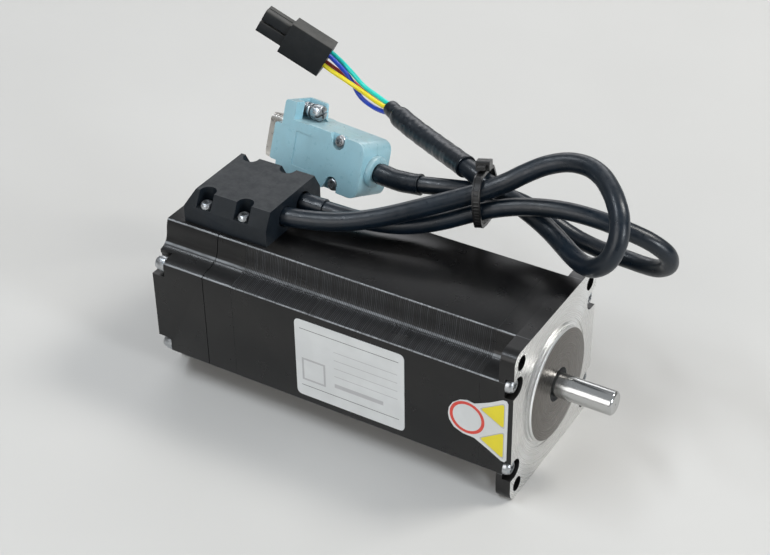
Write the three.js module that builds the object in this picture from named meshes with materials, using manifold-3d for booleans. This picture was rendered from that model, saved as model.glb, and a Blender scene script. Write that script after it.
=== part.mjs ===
// Closed-loop stepper servo motor, 57 mm frame, 90 mm stack, with its attached
// power cable and encoder cable. Millimetres, +Z up.
// Origin: centre of the output shaft's end face. +X points out along the shaft,
// so front is +X and rear is -X. The near side is -Y.
import * as THREE from 'three';
import { mergeVertices } from 'three/addons/utils/BufferGeometryUtils.js';
import Module from 'manifold-3d';

const wasm = await Module();
wasm.setup();

// ---------------------------------------------------------------- dimensions
const HALF_FRAME = 56.4 / 2;     // half the flange square and body across flats
const X_FACE = -21.0;            // flange mounting face
const X_BOSS = X_FACE + 1.6;     // front of the locating boss
const X_EAR = X_FACE - 5;        // back of the mounting ears
const X_FRONT_SEAM = -32.3;      // front cap to stator
const X_REAR_SEAM = -122.8;      // stator to rear cap
const X_COVER_SEAM = -134.1;     // rear cap to encoder cover
const X_BACK = -154.6;           // back of the encoder cover
const SEAM = 0.04;               // half the visible seam line
const BOSS_R = 38.1 / 2;
const SHAFT_R = 4.0;
const SHAFT_OPEN_R = 5.7;        // clearance hole around the shaft
const MOUNT_HOLE = 47.14 / 2;    // mounting holes' distance from both mid planes
const MOUNT_HOLE_R = 2.5;
const BOLT_Y = 25.8;             // assembly screws
const BOLT_Z = 16.0;
const BOLT_R = 1.4;
const BOLT_HOLE_R = 1.75;
const BOLT_HEAD_R = 2.6;
const FRONT_SEAT = -24.0;        // floors of the notches under the screw heads
const REAR_SEAT = -149.7;
const HEAD_GAP = 0.02;           // between a screw head and its seat
const NOTCH_R = 3.45;
const BEARING_R = 11.0;          // 8 x 22 x 7 bearing
const BEARING_W = 7;
const BEARING_GAP = 0.2;
const FRONT_BEARING_X = -32.0;   // rear faces of the bearings
const REAR_BEARING_X = -130.0;
const COIL_RECESS = [14.6, 24.6]; // radii of the ring recess in both caps
const CORNERS = [[-1, 1], [1, 1], [1, -1], [-1, -1]]; // signs of y and z
const SIDES = [-1, 1];

// ----------------------------------------------------------------- materials
const FINISH = {
  castMetal: { color: 0x9a9c9e, roughness: 0.32, metalness: 0.9 },
  paint: { color: 0x151617, roughness: 0.35, metalness: 0.1 },
  steel: { color: 0xb9bcc0, roughness: 0.28, metalness: 1.0 },
  zinc: { color: 0xc4c9cc, roughness: 0.25, metalness: 1.0 },
  copper: { color: 0xb06a3a, roughness: 0.35, metalness: 0.9 },
  insulator: { color: 0xe9e6da, roughness: 0.5, metalness: 0 },
  exitCover: { color: 0x1b1d1f, roughness: 0.6, metalness: 0 },
  board: { color: 0x1e6b3a, roughness: 0.45, metalness: 0.1 },
  reader: { color: 0x202124, roughness: 0.5, metalness: 0 },
  nameplate: { color: 0xe9eaea, roughness: 0.5, metalness: 0 },
  sticker: { color: 0xf2f2ee, roughness: 0.45, metalness: 0 },
  core: { color: 0x6f7276, roughness: 0.4, metalness: 0.9 },
  magnet: { color: 0x55585c, roughness: 0.4, metalness: 0.8 },
  hub: { color: 0x9fa2a5, roughness: 0.4, metalness: 0.9 },
  disc: { color: 0xc8cfd2, roughness: 0.15, metalness: 0.2 },
  rubber: { color: 0x14171b, roughness: 0.55, metalness: 0 },
  tie: { color: 0x111214, roughness: 0.5, metalness: 0 },
  hood: { color: 0x7fa9b6, roughness: 0.4, metalness: 0 },
  insert: { color: 0x202227, roughness: 0.5, metalness: 0 },
  plug: { color: 0x24272a, roughness: 0.55, metalness: 0 },
};
const wireFinish = (color) => ({ color, roughness: 0.4, metalness: 0 });

// ------------------------------------------------------------------- helpers
// Ranges are [from, to] pairs; this one runs equally either side of a middle.
const span = (half, middle = 0) => [middle - half, middle + half];

function toSolid(geometry) {
  const bare = geometry.clone();
  for (const key of Object.keys(bare.attributes)) {
    if (key !== 'position') bare.deleteAttribute(key);
  }
  const merged = mergeVertices(bare, 1e-4);
  return new wasm.Manifold(new wasm.Mesh({
    numProp: 3,
    vertProperties: new Float32Array(merged.attributes.position.array),
    triVerts: new Uint32Array(merged.index.array),
  }));
}

function toGeometry(body) {
  const { numProp, vertProperties, triVerts } = body.getMesh();
  const positions = new Float32Array((vertProperties.length / numProp) * 3);
  for (let i = 0; i < positions.length / 3; i++) {
    for (let k = 0; k < 3; k++) positions[i * 3 + k] = vertProperties[i * numProp + k];
  }
  const geometry = new THREE.BufferGeometry();
  geometry.setAttribute('position', new THREE.BufferAttribute(positions, 3));
  geometry.setIndex(new THREE.BufferAttribute(new Uint32Array(triVerts), 1));
  geometry.computeVertexNormals();
  return geometry;
}

const join = (...bodies) => bodies.reduce((sum, body) => sum.add(body));
const cut = (body, ...tools) => tools.reduce((rest, tool) => rest.subtract(tool), body);

function polar(radius, degrees) {
  const angle = (degrees * Math.PI) / 180;
  return [radius * Math.cos(angle), radius * Math.sin(angle)];
}

function circle(y, z, radius, sides) {
  return Array.from({ length: sides }, (_, i) => {
    const [dy, dz] = polar(radius, (360 * i) / sides);
    return [y + dy, z + dz];
  });
}

function roundedRect([xMin, xMax], [yMin, yMax], radius, steps) {
  const centres = [
    [xMax - radius, yMax - radius], [xMin + radius, yMax - radius],
    [xMin + radius, yMin + radius], [xMax - radius, yMin + radius],
  ];
  return centres.flatMap(([x, y], corner) => Array.from({ length: steps + 1 }, (_, i) => {
    const [dx, dy] = polar(radius, corner * 90 + (90 * i) / steps);
    return [x + dx, y + dy];
  }));
}

function shapeOf(points, holes = []) {
  const vectors = (list) => list.map(([x, y]) => new THREE.Vector2(x, y));
  const shape = new THREE.Shape(vectors(points));
  for (const hole of holes) shape.holes.push(new THREE.Path(vectors(hole)));
  return shape;
}

function extrude(points, [from, to], holes) {
  return new THREE.ExtrudeGeometry(shapeOf(points, holes), {
    depth: to - from, bevelEnabled: false, steps: 1,
  });
}

// A (y, z) outline extruded along X.
const YZ_TO_X = new THREE.Matrix4().makeBasis(
  new THREE.Vector3(0, 1, 0), new THREE.Vector3(0, 0, 1), new THREE.Vector3(1, 0, 0));

function extrudeX(points, range, holes) {
  return extrude(points, range, holes).applyMatrix4(YZ_TO_X).translate(range[0], 0, 0);
}

// An (x, z) outline extruded along Y.
const XZ_TO_Y = new THREE.Matrix4().makeBasis(
  new THREE.Vector3(1, 0, 0), new THREE.Vector3(0, 0, 1), new THREE.Vector3(0, -1, 0));

function extrudeY(points, range) {
  return extrude(points, range).applyMatrix4(XZ_TO_Y).translate(0, range[1], 0);
}

const prismX = (points, range, holes) => toSolid(extrudeX(points, range, holes));
const prismY = (points, range) => toSolid(extrudeY(points, range));
const prismZ = (points, range) => toSolid(extrude(points, range).translate(0, 0, range[0]));

function cylX(radius, [from, to], y, z, sides) {
  const geometry = new THREE.CylinderGeometry(radius, radius, to - from, sides, 1);
  geometry.rotateZ(-Math.PI / 2);
  geometry.translate((from + to) / 2, y, z);
  return toSolid(geometry);
}

function cylZ(radius, [from, to], x, y, sides) {
  const geometry = new THREE.CylinderGeometry(radius, radius, to - from, sides, 1);
  geometry.rotateX(Math.PI / 2);
  geometry.translate(x, y, (from + to) / 2);
  return toSolid(geometry);
}

// Each range may run either way, so a mirrored one can be given as it falls.
function box(...ranges) {
  const sizes = ranges.map(([from, to]) => Math.abs(to - from));
  const middles = ranges.map(([from, to]) => (from + to) / 2);
  return toSolid(new THREE.BoxGeometry(...sizes).translate(...middles));
}

// Four equal cylinders along X, mirrored in y and z.
function cornerCyls(radius, range, y, z, sides) {
  return CORNERS.map(([signY, signZ]) => cylX(radius, range, signY * y, signZ * z, sides));
}

// Profile of [x, r] points turned about the X axis, taken counter-clockwise
// in the (r, x) plane so the faces point outwards.
function turnX(profile, sides) {
  let points = profile.map(([x, r]) => new THREE.Vector2(r, x));
  if (THREE.ShapeUtils.area(points) < 0) points = points.reverse();
  return toSolid(new THREE.LatheGeometry(points, sides).rotateZ(-Math.PI / 2));
}

function ringX([inner, outer], [from, to], sides) {
  return turnX([[from, inner], [to, inner], [to, outer], [from, outer], [from, inner]], sides);
}

// A round bar along a smooth curve through the given points. Its polygon is
// drawn round the circle of the given radius; innerR makes it hollow.
function tube(points, radius, sides, steps, innerR = 0) {
  const nodes = points.map((point) => new THREE.Vector3(...point));
  const scale = 1 / Math.cos(Math.PI / sides);
  const holes = innerR ? [circle(0, 0, innerR * scale, sides)] : [];
  return new THREE.ExtrudeGeometry(shapeOf(circle(0, 0, radius * scale, sides), holes), {
    steps,
    bevelEnabled: false,
    extrudePath: new THREE.CatmullRomCurve3(nodes, false, 'centripetal'),
  });
}

function addMesh(parent, name, geometry, finish) {
  const mesh = new THREE.Mesh(geometry, new THREE.MeshStandardMaterial(finish));
  mesh.name = name;
  parent.add(mesh);
  return mesh;
}

function addGroup(parent, position, basis) {
  const group = new THREE.Group();
  if (position) group.position.copy(position);
  if (basis) group.quaternion.setFromRotationMatrix(basis);
  parent.add(group);
  return group;
}

// Body section (y, z): four flats, and at each corner a shallow groove, a
// rounded ridge on the diagonal and a second groove.
const CORNER_OUTLINE = [
  [17.2, 28.2], [17.95, 27.5], [18.82, 23.9], [19.35, 21.6], [20.25, 20.25],
  [21.6, 19.35], [23.9, 18.82], [27.5, 17.95], [28.2, 17.2],
];
const CORNER_REVERSED = [...CORNER_OUTLINE].reverse();
const SECTION = [
  ...CORNER_REVERSED,
  ...CORNER_OUTLINE.map(([y, z]) => [-y, z]),
  ...CORNER_REVERSED.map(([y, z]) => [-y, -z]),
  ...CORNER_OUTLINE.map(([y, z]) => [y, -z]),
];

// --------------------------------------------------------------- end caps
const EXIT_SCREW_X = [-141.05, -126.4]; // exit cover screws: encoder cover, rear cap
const EXIT_SCREW_Y = 13.4;
const EXIT_SCREW_HOLE_R = 1.35;
const OUTSIDE = 30;              // beyond the body's flats

const boltHoles = (range) => cornerCyls(BOLT_HOLE_R, range, BOLT_Y, BOLT_Z, 8);

// Round-ended notches for the assembly screw heads, open to the body's sides.
function sideNotches(range) {
  return CORNERS.flatMap(([signY, signZ]) => [
    cylX(NOTCH_R, range, signY * BOLT_Y, signZ * BOLT_Z, 14),
    box(range, [signY * BOLT_Y, signY * OUTSIDE], span(NOTCH_R, signZ * BOLT_Z)),
  ]);
}

function exitScrewHoles(x, range) {
  return SIDES.map((side) => cylZ(EXIT_SCREW_HOLE_R, range, x, side * EXIT_SCREW_Y, 8));
}

function frontEndCap() {
  const flange = roundedRect(span(HALF_FRAME), span(HALF_FRAME), 4.5, 4);
  const cap = join(
    prismX(flange, [X_EAR, X_FACE]),
    prismX(SECTION, [X_FRONT_SEAM + SEAM, X_EAR + 0.5]),
    cylX(BOSS_R, [X_FACE - 0.5, X_BOSS], 0, 0, 40));
  const pocketEnd = FRONT_BEARING_X + BEARING_W + 0.1;
  return toGeometry(cut(cap,
    cylX(SHAFT_OPEN_R, [-26, -18], 0, 0, 24),
    cylX(BEARING_R + BEARING_GAP, [-33, pocketEnd], 0, 0, 24),
    ringX(COIL_RECESS, [-33, -27.0], 24),
    ...cornerCyls(MOUNT_HOLE_R, [-27, -20], MOUNT_HOLE, MOUNT_HOLE, 12),
    ...sideNotches([FRONT_SEAT, -20.0]),
    ...boltHoles([-34, FRONT_SEAT + 0.5])));
}

function rearEndCap() {
  return toGeometry(cut(prismX(SECTION, [X_COVER_SEAM + SEAM, X_REAR_SEAM - SEAM]),
    cylX(5.2, [-136, -130], 0, 0, 16),
    cylX(BEARING_R + BEARING_GAP, [-131.3, -120], 0, 0, 24),
    ringX(COIL_RECESS, [-128.8, -122], 24),
    ...boltHoles([-136, -122]),
    // opening under the cable exit cover
    box([-128.2, -124.2], span(6), [20, OUTSIDE]),
    ...exitScrewHoles(EXIT_SCREW_X[1], [24.4, 29])));
}

// ----------------------------------------------------------------- stator
const POLES = 8;
const POLE_STEP = 360 / POLES;
const POLE_TIP_R = 15.3;
const POLE_SHOE_R = 16.3;        // back of the pole shoe at its ends
const SHOE_ANGLE = 17.5;         // half the shoe, degrees
const POLE_NECK = 17.7;          // where the straight neck meets the shoe
const POLE_HALF_W = 2.6;
const YOKE_R = 24.0;

function poleOutline() {
  const root = Math.sqrt(YOKE_R ** 2 - POLE_HALF_W ** 2);
  const pole = [
    [root, -POLE_HALF_W], [POLE_NECK, -POLE_HALF_W],
    polar(POLE_SHOE_R, -SHOE_ANGLE), polar(POLE_TIP_R, -SHOE_ANGLE), polar(POLE_TIP_R, 0),
    polar(POLE_TIP_R, SHOE_ANGLE), polar(POLE_SHOE_R, SHOE_ANGLE),
    [POLE_NECK, POLE_HALF_W], [root, POLE_HALF_W],
    polar(YOKE_R, 15), polar(YOKE_R, 30),
  ];
  return Array.from({ length: POLES }, (_, i) => {
    const [cos, sin] = polar(1, i * POLE_STEP);
    return pole.map(([y, z]) => [y * cos - z * sin, y * sin + z * cos]);
  }).flat();
}

function statorStack() {
  const holes = CORNERS.map(([signY, signZ]) => (
    circle(signY * BOLT_Y, signZ * BOLT_Z, BOLT_HOLE_R, 8)));
  return extrudeX(SECTION, [X_REAR_SEAM, X_FRONT_SEAM], [poleOutline(), ...holes]);
}

// One phase: four coils on alternate poles, joined by their crossover wire.
function phaseWinding(firstPole, coilRange, crossoverRange) {
  const coil = cut(box(coilRange, span(5.0), [18.1, 22.3]),
    box([X_REAR_SEAM - 1.1, X_FRONT_SEAM + 1.1], span(2.9), [17, 23]));
  let winding = ringX([20.6, 22.0], crossoverRange, 16);
  for (let k = 0; k < POLES / 2; k++) {
    winding = join(winding, coil.rotate([(firstPole + 2 * k) * POLE_STEP, 0, 0]));
  }
  return toGeometry(winding);
}

// An end insulator on a stator face; direction is the sign of x away from it.
function slotInsulator(face, direction) {
  const wallRange = [face + direction * 0.05, face + direction * 4.2];
  const armRange = [face + direction * 0.05, face + direction * 0.9];
  const arm = join(box(armRange, span(2.4), [16.9, 23.5]),
    box(wallRange, span(3.9), [16.7, 17.6]));
  let insulator = ringX([23.15, 23.95], wallRange, 24);
  for (let k = 0; k < POLES; k++) {
    insulator = join(insulator, arm.rotate([k * POLE_STEP, 0, 0]));
  }
  return toGeometry(insulator);
}

// ------------------------------------------------------------------ rotor
const ROTOR_R = 14.9;
const ROTOR_TEETH = 50;
const TOOTH_DEPTH = 0.8;
const CORE_BORE_R = 5.1;

function toothedCore(range, phase) {
  const points = [];
  for (let i = 0; i < ROTOR_TEETH; i++) {
    for (const [shift, radius] of [[-0.5, ROTOR_R - TOOTH_DEPTH], [0, ROTOR_R]]) {
      points.push(polar(radius, ((i + shift) * 360) / ROTOR_TEETH + phase));
    }
  }
  return extrudeX(points, range, [circle(0, 0, CORE_BORE_R, 20)]);
}

// Columns: x, radius.
const SHAFT_PROFILE = [
  [-144.0, 0], [-144.0, 2.7], [-143.7, 3.0], [-131.2, 3.0],
  [-131.2, SHAFT_R], [-122.9, SHAFT_R], [-122.9, 5.0], [-32.2, 5.0],
  [-32.2, SHAFT_R], [-0.6, SHAFT_R], [0, SHAFT_R - 0.6], [0, 0],
];
const HUB_PROFILE = [
  [-142.6, 3.1], [-136.3, 3.1], [-136.3, 5.0], [-138.9, 5.0], [-138.9, 7.5],
  [-140.2, 7.5], [-140.2, 5.0], [-142.6, 5.0], [-142.6, 3.1],
];

// ---------------------------------------------------------------- bearings
const BALL_CIRCLE_R = 7.5;
const BALLS = 7;

function innerRace(x) {
  return toGeometry(turnX([
    [x, 4.1], [x + BEARING_W, 4.1], [x + BEARING_W, 5.9], [x + 5, 5.9],
    [x + 3.5, 5.3], [x + 2, 5.9], [x, 5.9], [x, 4.1],
  ], 16));
}

function outerRace(x) {
  return toGeometry(turnX([
    [x, 9.2], [x + 2, 9.2], [x + 3.5, 9.7], [x + 5, 9.2], [x + BEARING_W, 9.2],
    [x + BEARING_W, BEARING_R], [x, BEARING_R], [x, 9.2],
  ], 18));
}

// Balls joined by a thin cage ring.
function ballSet(x) {
  let balls = ringX(span(0.35, BALL_CIRCLE_R), [x + 3.0, x + 4.0], 14);
  for (let i = 0; i < BALLS; i++) {
    const angle = (2 * Math.PI * i) / BALLS;
    const ball = new THREE.OctahedronGeometry(1.8, 1);
    ball.rotateX(angle);
    ball.translate(x + BEARING_W / 2,
      BALL_CIRCLE_R * Math.cos(angle), BALL_CIRCLE_R * Math.sin(angle));
    balls = join(balls, toSolid(ball));
  }
  return toGeometry(balls);
}

// A thin spring ring whose faces rise and fall three times round.
function waveWasher(x, amplitude, thickness) {
  const disc = new THREE.CylinderGeometry(10.4, 10.4, thickness, 24, 1);
  const bore = new THREE.CylinderGeometry(8.6, 8.6, thickness + 4, 24, 1);
  const washer = toGeometry(cut(toSolid(disc), toSolid(bore)));
  const position = washer.attributes.position;
  for (let i = 0; i < position.count; i++) {
    const angle = Math.atan2(position.getZ(i), position.getX(i));
    position.setY(i, position.getY(i) + amplitude * Math.cos(3 * angle));
  }
  return washer.rotateZ(-Math.PI / 2).translate(x, 0, 0);
}

// ----------------------------------------------------------------- encoder
const BOARD_REAR = -146.65;
const BOARD_T = 1.6;
const BOARD_POST = 12.5;         // board posts' distance from both mid planes

function encoderCover() {
  const cavity = [X_BACK + 2.2, -130];
  const notch = [-158, REAR_SEAT];
  const shell = cut(prismX(SECTION, [X_BACK, X_COVER_SEAM - SEAM]),
    box(cavity, span(25.8), span(11.3)),
    box(cavity, span(16.5), span(25.8)),
    box(cavity, span(22.2), span(16.4)),
    ...sideNotches(notch),
    ...boltHoles([-152, -130]),
    // square relief outward of each notch so the screw heads show
    ...CORNERS.map(([signY, signZ]) => (
      box(notch, [signY * 22.9, signY * OUTSIDE], [signZ * BOLT_Z, signZ * 22]))));
  const posts = cornerCyls(2.0, [-152.8, BOARD_REAR - 0.1], BOARD_POST, BOARD_POST, 8);
  return toGeometry(cut(join(shell, ...posts),
    box([-145.5, -136.5], span(6), [24, OUTSIDE]),
    ...exitScrewHoles(EXIT_SCREW_X[0], [24, 29])));
}

function encoderBoard() {
  const outline = roundedRect(span(16.2), span(16.2), 2, 3);
  return toGeometry(cut(prismX(outline, [BOARD_REAR, BOARD_REAR + BOARD_T]),
    ...cornerCyls(0.9, [-148, -144], BOARD_POST, BOARD_POST, 8)));
}

// Block on the board, slotted to straddle the disc.
function encoderReader() {
  return toGeometry(cut(box([-144.95, -136.6], span(5), [9.2, 15.6]),
    box([-140.4, -137.9], span(6), [8, 13.8])));
}

// -------------------------------------------------------- cable exit cover
const EXIT_REAR = -148.7;
const EXIT_FRONT = -116.4;
const EXIT_BASE = 28.26;
const EXIT_TOP = 39.8;
const EXIT_HALF_W = 16.0;
const EXIT_WALL = 2.1;
const EXIT_SEAT = 34.5;          // floor of the screw notches
const EXIT_NOTCH_R = 2.85;
const EXIT_NOTCH_Y = 12.3;

function cableExitCover() {
  // side faces upright to mid height, then leaning in on three sides
  const side = [
    [EXIT_REAR, EXIT_BASE], [EXIT_FRONT, EXIT_BASE], [EXIT_FRONT, EXIT_TOP],
    [EXIT_REAR + 3.2, EXIT_TOP], [EXIT_REAR, 34.0],
  ];
  const front = [
    [-EXIT_HALF_W, EXIT_BASE - 1], [EXIT_HALF_W, EXIT_BASE - 1], [EXIT_HALF_W, 34.2],
    [12.9, EXIT_TOP], [12.9, EXIT_TOP + 1], [-12.9, EXIT_TOP + 1], [-12.9, EXIT_TOP],
    [-EXIT_HALF_W, 34.2],
  ];
  const block = prismY(side, span(EXIT_HALF_W))
    .intersect(prismX(front, [EXIT_REAR - 1, EXIT_FRONT + 1]));
  const innerFront = EXIT_FRONT - EXIT_WALL;
  const notchZ = [EXIT_SEAT, 42];
  const notches = EXIT_SCREW_X.flatMap((x) => SIDES.flatMap((sign) => [
    cylZ(EXIT_NOTCH_R, notchZ, x, sign * EXIT_NOTCH_Y, 14),
    box(span(EXIT_NOTCH_R, x), [sign * EXIT_NOTCH_Y, sign * 17], notchZ),
    cylZ(EXIT_SCREW_HOLE_R, [27, EXIT_SEAT + 1], x, sign * EXIT_SCREW_Y, 8),
  ]));
  return toGeometry(cut(block,
    box([EXIT_REAR + EXIT_WALL, innerFront], span(8.5), [20, 37.6]),
    box([-123.5, innerFront], span(11.5), [20, 37.3]),
    ...notches,
    // power cable hole, encoder cable hole
    cylX(3.85, [-120, -115], -4.9, 33.87, 14),
    cylX(4.15, [-120, -115], 5.64, 33.37, 14)));
}

// ------------------------------------------------------------------ labels
// Columns: x, z.
const STICKER_OUTLINE = [
  [-42.5, -3.0], [-40.8, -5.4], [-37.7, -6.7], [-33.7, -6.9], [-28.3, -9.8], [-24.4, -12.1],
  [-23.3, -12.3], [-22.6, -11.4], [-22.55, 10.6], [-23.1, 11.5], [-24.4, 11.5], [-29.1, 8.6],
  [-34.0, 6.3], [-36.4, 6.7], [-38.9, 5.9], [-41.4, 3.9], [-42.6, 1.6], [-42.9, -0.7],
];
const LABEL_BACK = -28.22;

// ---------------------------------------------------------------- fasteners
// Pan head screw with a cross recess, its axis along +X, head towards +X,
// the underside of the head at x = 0.
function panScrew({ headR, headH, shankR, shankL, sides }) {
  const body = turnX([
    [-shankL, 0], [-shankL, shankR], [0, shankR], [0, headR],
    [headH * 0.55, headR], [headH, headR * 0.68], [headH, 0],
  ], sides);
  const slotWidth = span(headR * 0.17);
  const slotLength = span(headR * 0.52);
  const slotDepth = [headH * 0.5, headH + 1];
  return toGeometry(cut(body,
    box(slotDepth, slotWidth, slotLength), box(slotDepth, slotLength, slotWidth)));
}

// ------------------------------------------------------------------ cables
const POWER_R = 3.15;            // power cable, 6.3 mm
const ENCODER_R = 3.0;           // encoder cable, 6.0 mm
const CABLE_SIDES = 8;
const SLEEVE_GAP = 0.34;         // cable surface to sleeve bore

// Centre lines. Columns: x, y, z.
const POWER_PATH = [
  [-123.52, -4.94, 33.89], [-116.15, -4.74, 33.87], [-107.83, -3.06, 34.13],
  [-99.78, -0.67, 34.77], [-92.25, 2.38, 35.99], [-85.2, 6.15, 37.67],
  [-78.56, 10.45, 39.54], [-72.14, 14.95, 41.4], [-65.77, 19.44, 43.31],
  [-59.42, 23.82, 45.51], [-53.52, 27.75, 48.34], [-48.29, 30.8, 51.76],
  [-42.38, 33.14, 55.17], [-35.27, 34.43, 57.7], [-28.26, 33.43, 58.72],
  [-22.38, 30.18, 58.77], [-17.6, 25.69, 58.36], [-13.49, 21.07, 57.26],
  [-10.2, 16.94, 54.5], [-8.77, 13.34, 49.16], [-10.54, 11.12, 42.87],
  [-14.99, 11.93, 38.41], [-20.19, 15.26, 35.76], [-25.59, 19.66, 34.35],
  [-31.12, 24.19, 33.89], [-37.03, 28.22, 34.33], [-43.86, 31.22, 35.72],
  [-51.76, 33.12, 37.8], [-59.87, 34.42, 39.86], [-67.27, 36.14, 41.5],
  [-73.79, 38.93, 42.07], [-79.79, 42.55, 41.44], [-85.68, 46.54, 40.33],
  [-91.87, 50.47, 39.42], [-98.53, 54.15, 38.98], [-105.37, 57.68, 38.9],
  [-112.02, 61.35, 39], [-115.2, 63.25, 39.08],
];
const ENCODER_PATH = [
  [-123.2, 5.6, 33.41], [-116.19, 5.67, 33.33], [-108.05, 6.15, 32.82],
  [-99.89, 6.99, 32.38], [-91.92, 8.36, 32.14], [-84.15, 10.48, 32.2],
  [-76.75, 13.49, 33.08], [-69.83, 17.1, 34.84], [-63.33, 20.83, 37.1],
  [-56.89, 24.14, 39.21], [-50.13, 26.65, 40.88], [-43.02, 28.38, 42.07],
  [-35.82, 29.62, 42.78], [-28.62, 30.62, 42.74], [-21.32, 31.8, 41.75],
  [-13.87, 33.55, 39.69], [-6.8, 36.05, 36.41], [-2.14, 38.83, 31.64],
  [-2.23, 41.44, 26.2], [-6.43, 43.98, 21.89], [-12.27, 46.63, 19.51],
  [-18.81, 48.53, 18.43], [-25.91, 49.12, 18.32], [-33.26, 48.73, 19.55],
  [-40.39, 47.89, 22.25], [-46.65, 46.79, 25.9], [-51.76, 45.15, 29.42],
  [-56.53, 42.93, 32.28], [-62.23, 40.32, 34.29], [-68.99, 37.67, 35.16],
  [-76.19, 35.31, 35.21], [-83.37, 33.68, 34.73], [-90.46, 33.04, 33.77],
  [-97.48, 33.71, 32.76], [-106.09, 35.07, 32.43], [-115.65, 36.59, 32.14],
];
const POWER_SLEEVE_PATH = [...POWER_PATH.slice(30), [-118.38, 65.24, 39.18]];
const EXIT_SLEEVE_PATH = [[-115.95, 5.68, 33.32], [-112.1, 5.87, 33.09], [-108.3, 6.13, 32.84]];
const HOOD_SLEEVE_PATH = [
  [-87.67, 33.16, 34.2], ...ENCODER_PATH.slice(32, 34), [-104.5, 34.82, 32.47],
];

// A hollow sleeve round part of a cable.
function sleeve(path, cableR, wall, steps) {
  const innerR = cableR + SLEEVE_GAP;
  return tube(path, innerR + wall, CABLE_SIDES, steps, innerR);
}

// --------------------------------------------------------------- cable tie
// Strap round the four cable passes: a flat band following their outline,
// with its locking head and cut-off tail.
const TIE_CENTRE = new THREE.Vector3(-62.4, 30.4, 40.1);
const TIE_BASIS = new THREE.Matrix4().makeBasis(
  new THREE.Vector3(0.95539, 0.28228, 0.08685),
  new THREE.Vector3(-0.28335, 0.95902, 0),
  new THREE.Vector3(-0.08329, -0.02461, 0.99622));
// Columns: local y, local z.
const TIE_INNER = [
  [12.52, -2.08], [9.28, 3.96], [8.53, 4.57], [-6.54, 9.11], [-8.13, 8.95], [-10.26, 7.81],
  [-11.53, 6.26], [-12.51, 2.98], [-11.9, -3.14], [-11.08, -4.67], [-10.32, -5.29],
  [4.76, -9.83], [10.45, -9.26], [11.66, -8.62], [12.53, -7.54], [12.93, -6.22],
];
const TIE_OUTER = [
  [13.69, -1.72], [10.22, 4.74], [9.11, 5.65], [-6.42, 10.33], [-8.49, 10.12], [-11.03, 8.75],
  [-12.61, 6.83], [-13.73, 3.1], [-13.07, -3.5], [-12.02, -5.45], [-10.89, -6.37],
  [4.64, -11.05], [10.81, -10.43], [12.43, -9.56], [13.61, -8.12], [14.15, -6.33],
];
const TIE_HEAD = [1.35, 7.99];
const TIE_ALONG = [-0.9576, 0.2883];   // along the strap at the head
const TIE_OUTWARD = [0.2883, 0.9576];

function tieBlock([alongMin, alongMax], [outMin, outMax], halfWidth) {
  const corners = [
    [alongMin, outMin], [alongMin, outMax], [alongMax, outMax], [alongMax, outMin],
  ];
  const points = corners.map(([along, out]) => TIE_HEAD.map(
    (middle, k) => middle + TIE_ALONG[k] * along + TIE_OUTWARD[k] * out));
  return prismX(points, span(halfWidth));
}

function cableTie() {
  return toGeometry(join(
    prismX(TIE_OUTER, span(1.3), [TIE_INNER]),
    tieBlock(span(2.4), [-0.6, 3.3], 2.3),
    tieBlock([2.0, 5.6], [1.1, 2.2], 1.2)));
}

// ------------------------------------------------------- encoder connector
// Local frame: x towards the cable, y across the screw ears, z out of the
// near face. The hood halves meet at z = 0.
const HOOD_CENTRE = new THREE.Vector3(-129.6, 38.6, 31.8);
const HOOD_BASIS = new THREE.Matrix4().makeBasis(
  new THREE.Vector3(0.9892, -0.1443, 0.0247),
  new THREE.Vector3(0.0262, 0.3407, 0.9398),
  new THREE.Vector3(-0.1441, -0.9290, 0.3409));
const HOOD_T = 7.65;             // half thickness
const HOOD_W = 9.8;              // half width of the body
const HOOD_EAR = 15.6;           // half width over the screw ears
const JACK_Y = 25 / 2;           // jackscrew pitch 25 mm
const HOOD_MOUTH = -17.2;        // mating edge of the hood
const EAR_FRONT = -14.2;         // mating end of the screw ears
const EAR_END = -5.0;            // cable-side end of the screw ears
const EAR_BACK = -4.65;          // far face of the ears
const HOOD_SCREW_X = 11.3;       // closing screws
const HOOD_SCREW_Y = 7.5;
const HOOD_SEAT = HOOD_T - 1.9;  // floor of the closing screws' recesses

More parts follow.
